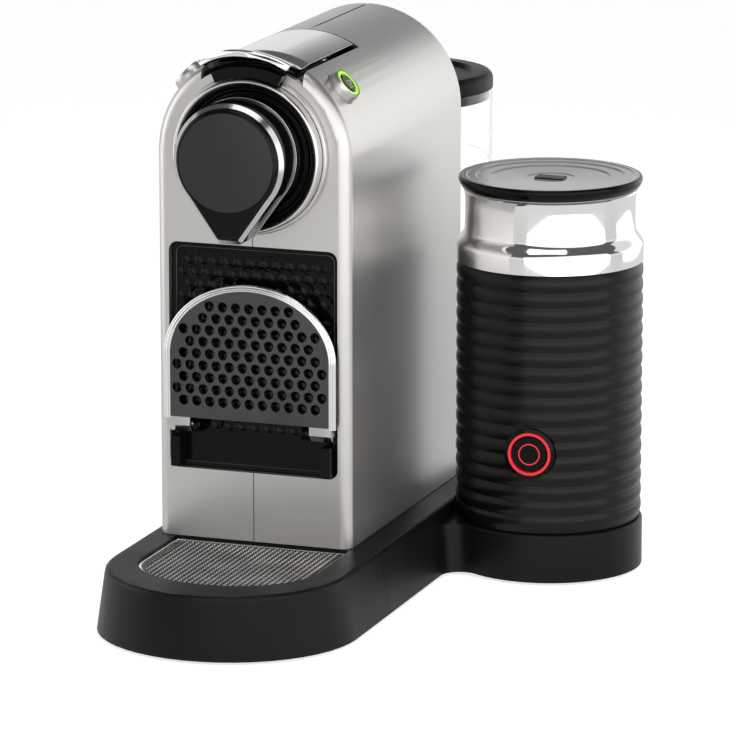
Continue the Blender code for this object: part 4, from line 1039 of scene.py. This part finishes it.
def head_rings():
    """The bezel's flared ring and the stepped gloss rings inside it, as (radius, ahead)."""
    at = (0, 0, HEAD_Z)
    ahead = (0, -1, 0)
    bezel = [
        (0.0346, BEZEL_BACK), (0.0339, 0.0062), (0.0342, 0.0078), (0.0350, 0.0092),
        (0.0362, 0.0100), (0.0373, 0.0100), (0.0380, 0.0090), (0.0380, BEZEL_BACK),
    ]
    radii = [0, 0.001, 0.0006, 0.001, 0.0008, 0.0005, 0.0008, 0]
    made = lathe("bezel_ring", filleted(bezel, radii), at, ahead, 144, ring=True)
    finish_piece(made, "silver_casing", "machine", ["head_bezel"], 40, look="bezel_silver")
    cap = [
        (0, 0.0060), (0.0262, 0.0060), (0.0268, 0.0052), (0.0284, 0.0052), (0.0288, 0.0058),
        (0.0300, 0.0058), (0.0304, 0.0048), (0.0318, 0.0048), (0.0323, 0.0060), (0.0332, 0.0060),
        (0.0336, 0.0052), (0.0336, HEAD_BACK), (0, HEAD_BACK),
    ]
    radii = [0, *[0.0003] * 6, 0.0004, 0.0004, 0.0003, 0.0002, 0.0003, 0]
    made = lathe("head_steps", filleted(cap, radii), at, ahead, 144)
    finish_piece(made, "black_gloss", "machine", ["brew_head_cap"], 40)


# ---------------------------------------------------------------- small pieces


def shoulder_symbols():
    """A small generic cup on each shoulder button."""
    cup = [(-0.0019, 0.0012), (-0.0014, -0.0016), (0.0010, -0.0016), (0.0015, 0.0012)]
    handle = arc(0.0016, 0.0001, 0.0009, -80, 80, 8)
    saucer = [(-0.0024, -0.0026), (0.0022, -0.0026)]
    for button, side in (("espresso_button", 1), ("lungo_button", -1)):
        low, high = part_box(button)
        middle_y = ((low + high) / 2 - ORIGIN).y
        out = Vector((side * sin(BUTTON_LEAN), 0, cos(BUTTON_LEAN)))
        right = Vector((0, 1, 0)) * side
        up = out.cross(right)
        face = Vector((0, middle_y, CROWN_AXIS_Z)) + out * MARK_REACH
        parts = []
        for line, closed in ((cup, True), (handle, False), (saucer, False)):
            points = [face + right * x + up * z for x, z in line]
            parts.append(tube("mark", points, MARK_LINE, closed, 2))
        made = merged(f"{button}_mark", *parts)
        finish_piece(made, "glow_green", button, (), 60, look="symbol_pale")


def tank_marks():
    """A moulded level ring inside the clear tank."""
    radius = (TANK_BOX[1].x - TANK_BOX[0].x) / 2 - LEVEL_INSET
    outer = radius - 0.0001
    inner = radius - 0.0012
    profile = [
        (outer, LEVEL_Z), (inner, LEVEL_Z + 0.0004), (inner, LEVEL_Z + 0.0011),
        (outer, LEVEL_Z + 0.0015),
    ]
    ring = lathe("tank_level_ring", profile, (TANK.x, TANK.y, 0), steps=96, ring=True)
    finish_piece(ring, "clear_plastic", "tank", (), 40)


# ---------------------------------------------------------------- CAD nodes

WELD_REACH = 0.000002
SHARP_ANGLE = radians(34)


def dress_cad_nodes():
    """Node-based materials and smooth shading by angle on every CAD node that still shows."""
    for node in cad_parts.values():
        if node.hide_render:
            continue
        mesh = node.data
        slot = mesh.materials[0].name.split(".")[0]
        mesh.materials[0] = MATERIALS.get(slot, MATERIALS["black_matte"])
        if "custom_normal" in mesh.attributes:
            mesh.attributes.remove(mesh.attributes["custom_normal"])
        mesh.shade_smooth()
        weld = node.modifiers.new("weld", "WELD")
        weld.merge_threshold = WELD_REACH
        split = node.modifiers.new("split", "EDGE_SPLIT")
        split.split_angle = SHARP_ANGLE
        split.use_edge_sharp = False
        even = node.modifiers.new("even", "WEIGHTED_NORMAL")
        even.keep_sharp = False
        even.weight = 80
        even.mode = "FACE_AREA"


# ---------------------------------------------------------------- studio

# The camera stands off from AIM; DROP and ACROSS shift what it points at down and to the right
AIM = Vector((0.030, 0.080, 0.130))
AZIMUTH = radians(19.62)
ELEVATION = radians(12.35)
DISTANCE = 2.7103
LENS = 263.6
DROP = 0.0229
ACROSS = 0.0014
LIT_MIDDLE = Vector((0.03, 0.06, 0))
FLOOR_HALF = 6
FLOOR_GLOW = 0.60


def camera():
    """A long lens from the photo's angle; its target is set off a little from AIM."""
    back = Vector(
        (sin(AZIMUTH) * cos(ELEVATION), -cos(AZIMUTH) * cos(ELEVATION), sin(ELEVATION))
    )
    right = Vector((cos(AZIMUTH), sin(AZIMUTH), 0))
    up = back.cross(right)
    where = ORIGIN + AIM + back * DISTANCE
    target = ORIGIN + AIM - up * DROP + right * ACROSS
    data = bpy.data.cameras.new("camera")
    data.lens = LENS
    data.sensor_width = 36
    data.clip_end = 50
    made = bpy.data.objects.new("camera", data)
    made.location = where
    made.rotation_euler = (where - target).to_track_quat("Z", "Y").to_euler()
    bpy.context.scene.collection.objects.link(made)
    bpy.context.scene.camera = made


def softbox(name, azimuth, distance, height, width, tall, power, aim_z=0.13):
    """An area light round the machine; azimuth 0 stands in front of it and 90 to its right."""
    angle = radians(azimuth)
    middle = LIT_MIDDLE + ORIGIN
    where = middle + Vector((sin(angle) * distance, -cos(angle) * distance, height))
    target = middle + Vector((0, 0, aim_z))
    data = bpy.data.lights.new(name, "AREA")
    data.shape = "RECTANGLE"
    data.size = width
    data.size_y = tall
    data.energy = power
    made = bpy.data.objects.new(name, data)
    made.location = where
    made.rotation_euler = (where - target).to_track_quat("Z", "Y").to_euler()
    made.visible_camera = False
    bpy.context.scene.collection.objects.link(made)


def world_light():
    """White to the camera; to the pieces, bright up to just above the horizon, then dim."""
    world = bpy.data.worlds.new("studio")
    world.use_nodes = True
    nodes = world.node_tree.nodes
    links = world.node_tree.links
    background = nodes["Background"]
    path = nodes.new("ShaderNodeLightPath")
    pick = nodes.new("ShaderNodeMix")
    pick.data_type = "RGBA"
    pick.inputs["A"].default_value = colour(1.0)
    horizon = nodes.new("ShaderNodeTexCoord")
    parts = nodes.new("ShaderNodeSeparateXYZ")
    links.new(horizon.outputs["Generated"], parts.inputs["Vector"])
    fall = nodes.new("ShaderNodeValToRGB")
    for stop, position, value in ((0, 0.26, 0.85), (1, 0.40, 0.12)):
        fall.color_ramp.elements[stop].position = position
        fall.color_ramp.elements[stop].color = colour(value)
    links.new(parts.outputs["Z"], fall.inputs["Fac"])
    links.new(fall.outputs["Color"], pick.inputs["B"])
    both = nodes.new("ShaderNodeMath")
    both.operation = "MAXIMUM"
    links.new(path.outputs["Is Glossy Ray"], both.inputs[0])
    links.new(path.outputs["Is Diffuse Ray"], both.inputs[1])
    links.new(both.outputs[0], pick.inputs["Factor"])
    links.new(pick.outputs["Result"], background.inputs["Color"])
    bpy.context.scene.world = world
    bpy.context.scene.view_settings.view_transform = "Standard"


def floor_sheet(name, look):
    """A wide level square for the studio, not a piece of the machine."""
    corners = [(-FLOOR_HALF, -FLOOR_HALF, 0), (FLOOR_HALF, -FLOOR_HALF, 0),
               (FLOOR_HALF, FLOOR_HALF, 0), (-FLOOR_HALF, FLOOR_HALF, 0)]
    made = object_of(name, corners, [(0, 1, 2, 3)])
    made.data.materials.append(look)
    return made


def floors():
    """A pale floor that reflections don't show, and a dimmer one that only they show."""
    pale = surface(
        "floor_pale", colour(0.86), roughness=0.07, rough_spread=0.02, mottle=2,
        mottle_amount=0.01, grain=60, grain_depth=0.00001, specular=0.35,
        glow=colour(1.0), glow_strength=FLOOR_GLOW,
    )
    floor = floor_sheet("floor", pale)
    floor.visible_glossy = False
    shade = surface(
        "floor_shade", colour(0.62), roughness=0.5, rough_spread=0.02, mottle=2,
        mottle_amount=0.01, grain=60, grain_depth=0.00001, specular=0.1,
    )
    dim = floor_sheet("floor_dim", shade)
    dim.visible_camera = False
    dim.visible_diffuse = False
    dim.visible_transmission = False
    dim.visible_shadow = False


def studio():
    """World, floors and softboxes: (name, azimuth, distance, height, width, tall, power)."""
    world_light()
    floors()
    softbox("key_right", 44, 0.66, 0.40, 1.90, 0.80, 6.4, aim_z=0.34)
    softbox("side_right", 142, 0.95, 0.40, 0.9, 0.80, 1.7, aim_z=0.30)
    softbox("left_strip", -72, 0.75, 0.34, 0.55, 0.68, 1.4, aim_z=0.30)
    softbox("top", 20, 0.25, 1.5, 0.9, 0.9, 5)


# ---------------------------------------------------------------- build

make_materials()
ribbed_sleeve()
jug()
frother_lid()
frother_lid_rim()
frother_lid_socket()
frother_symbols()
honeycomb_panel()
cup_support()
drip_grid()
outlet()
head_rings()
shoulder_symbols()
tank_marks()
dress_cad_nodes()
studio()
camera()
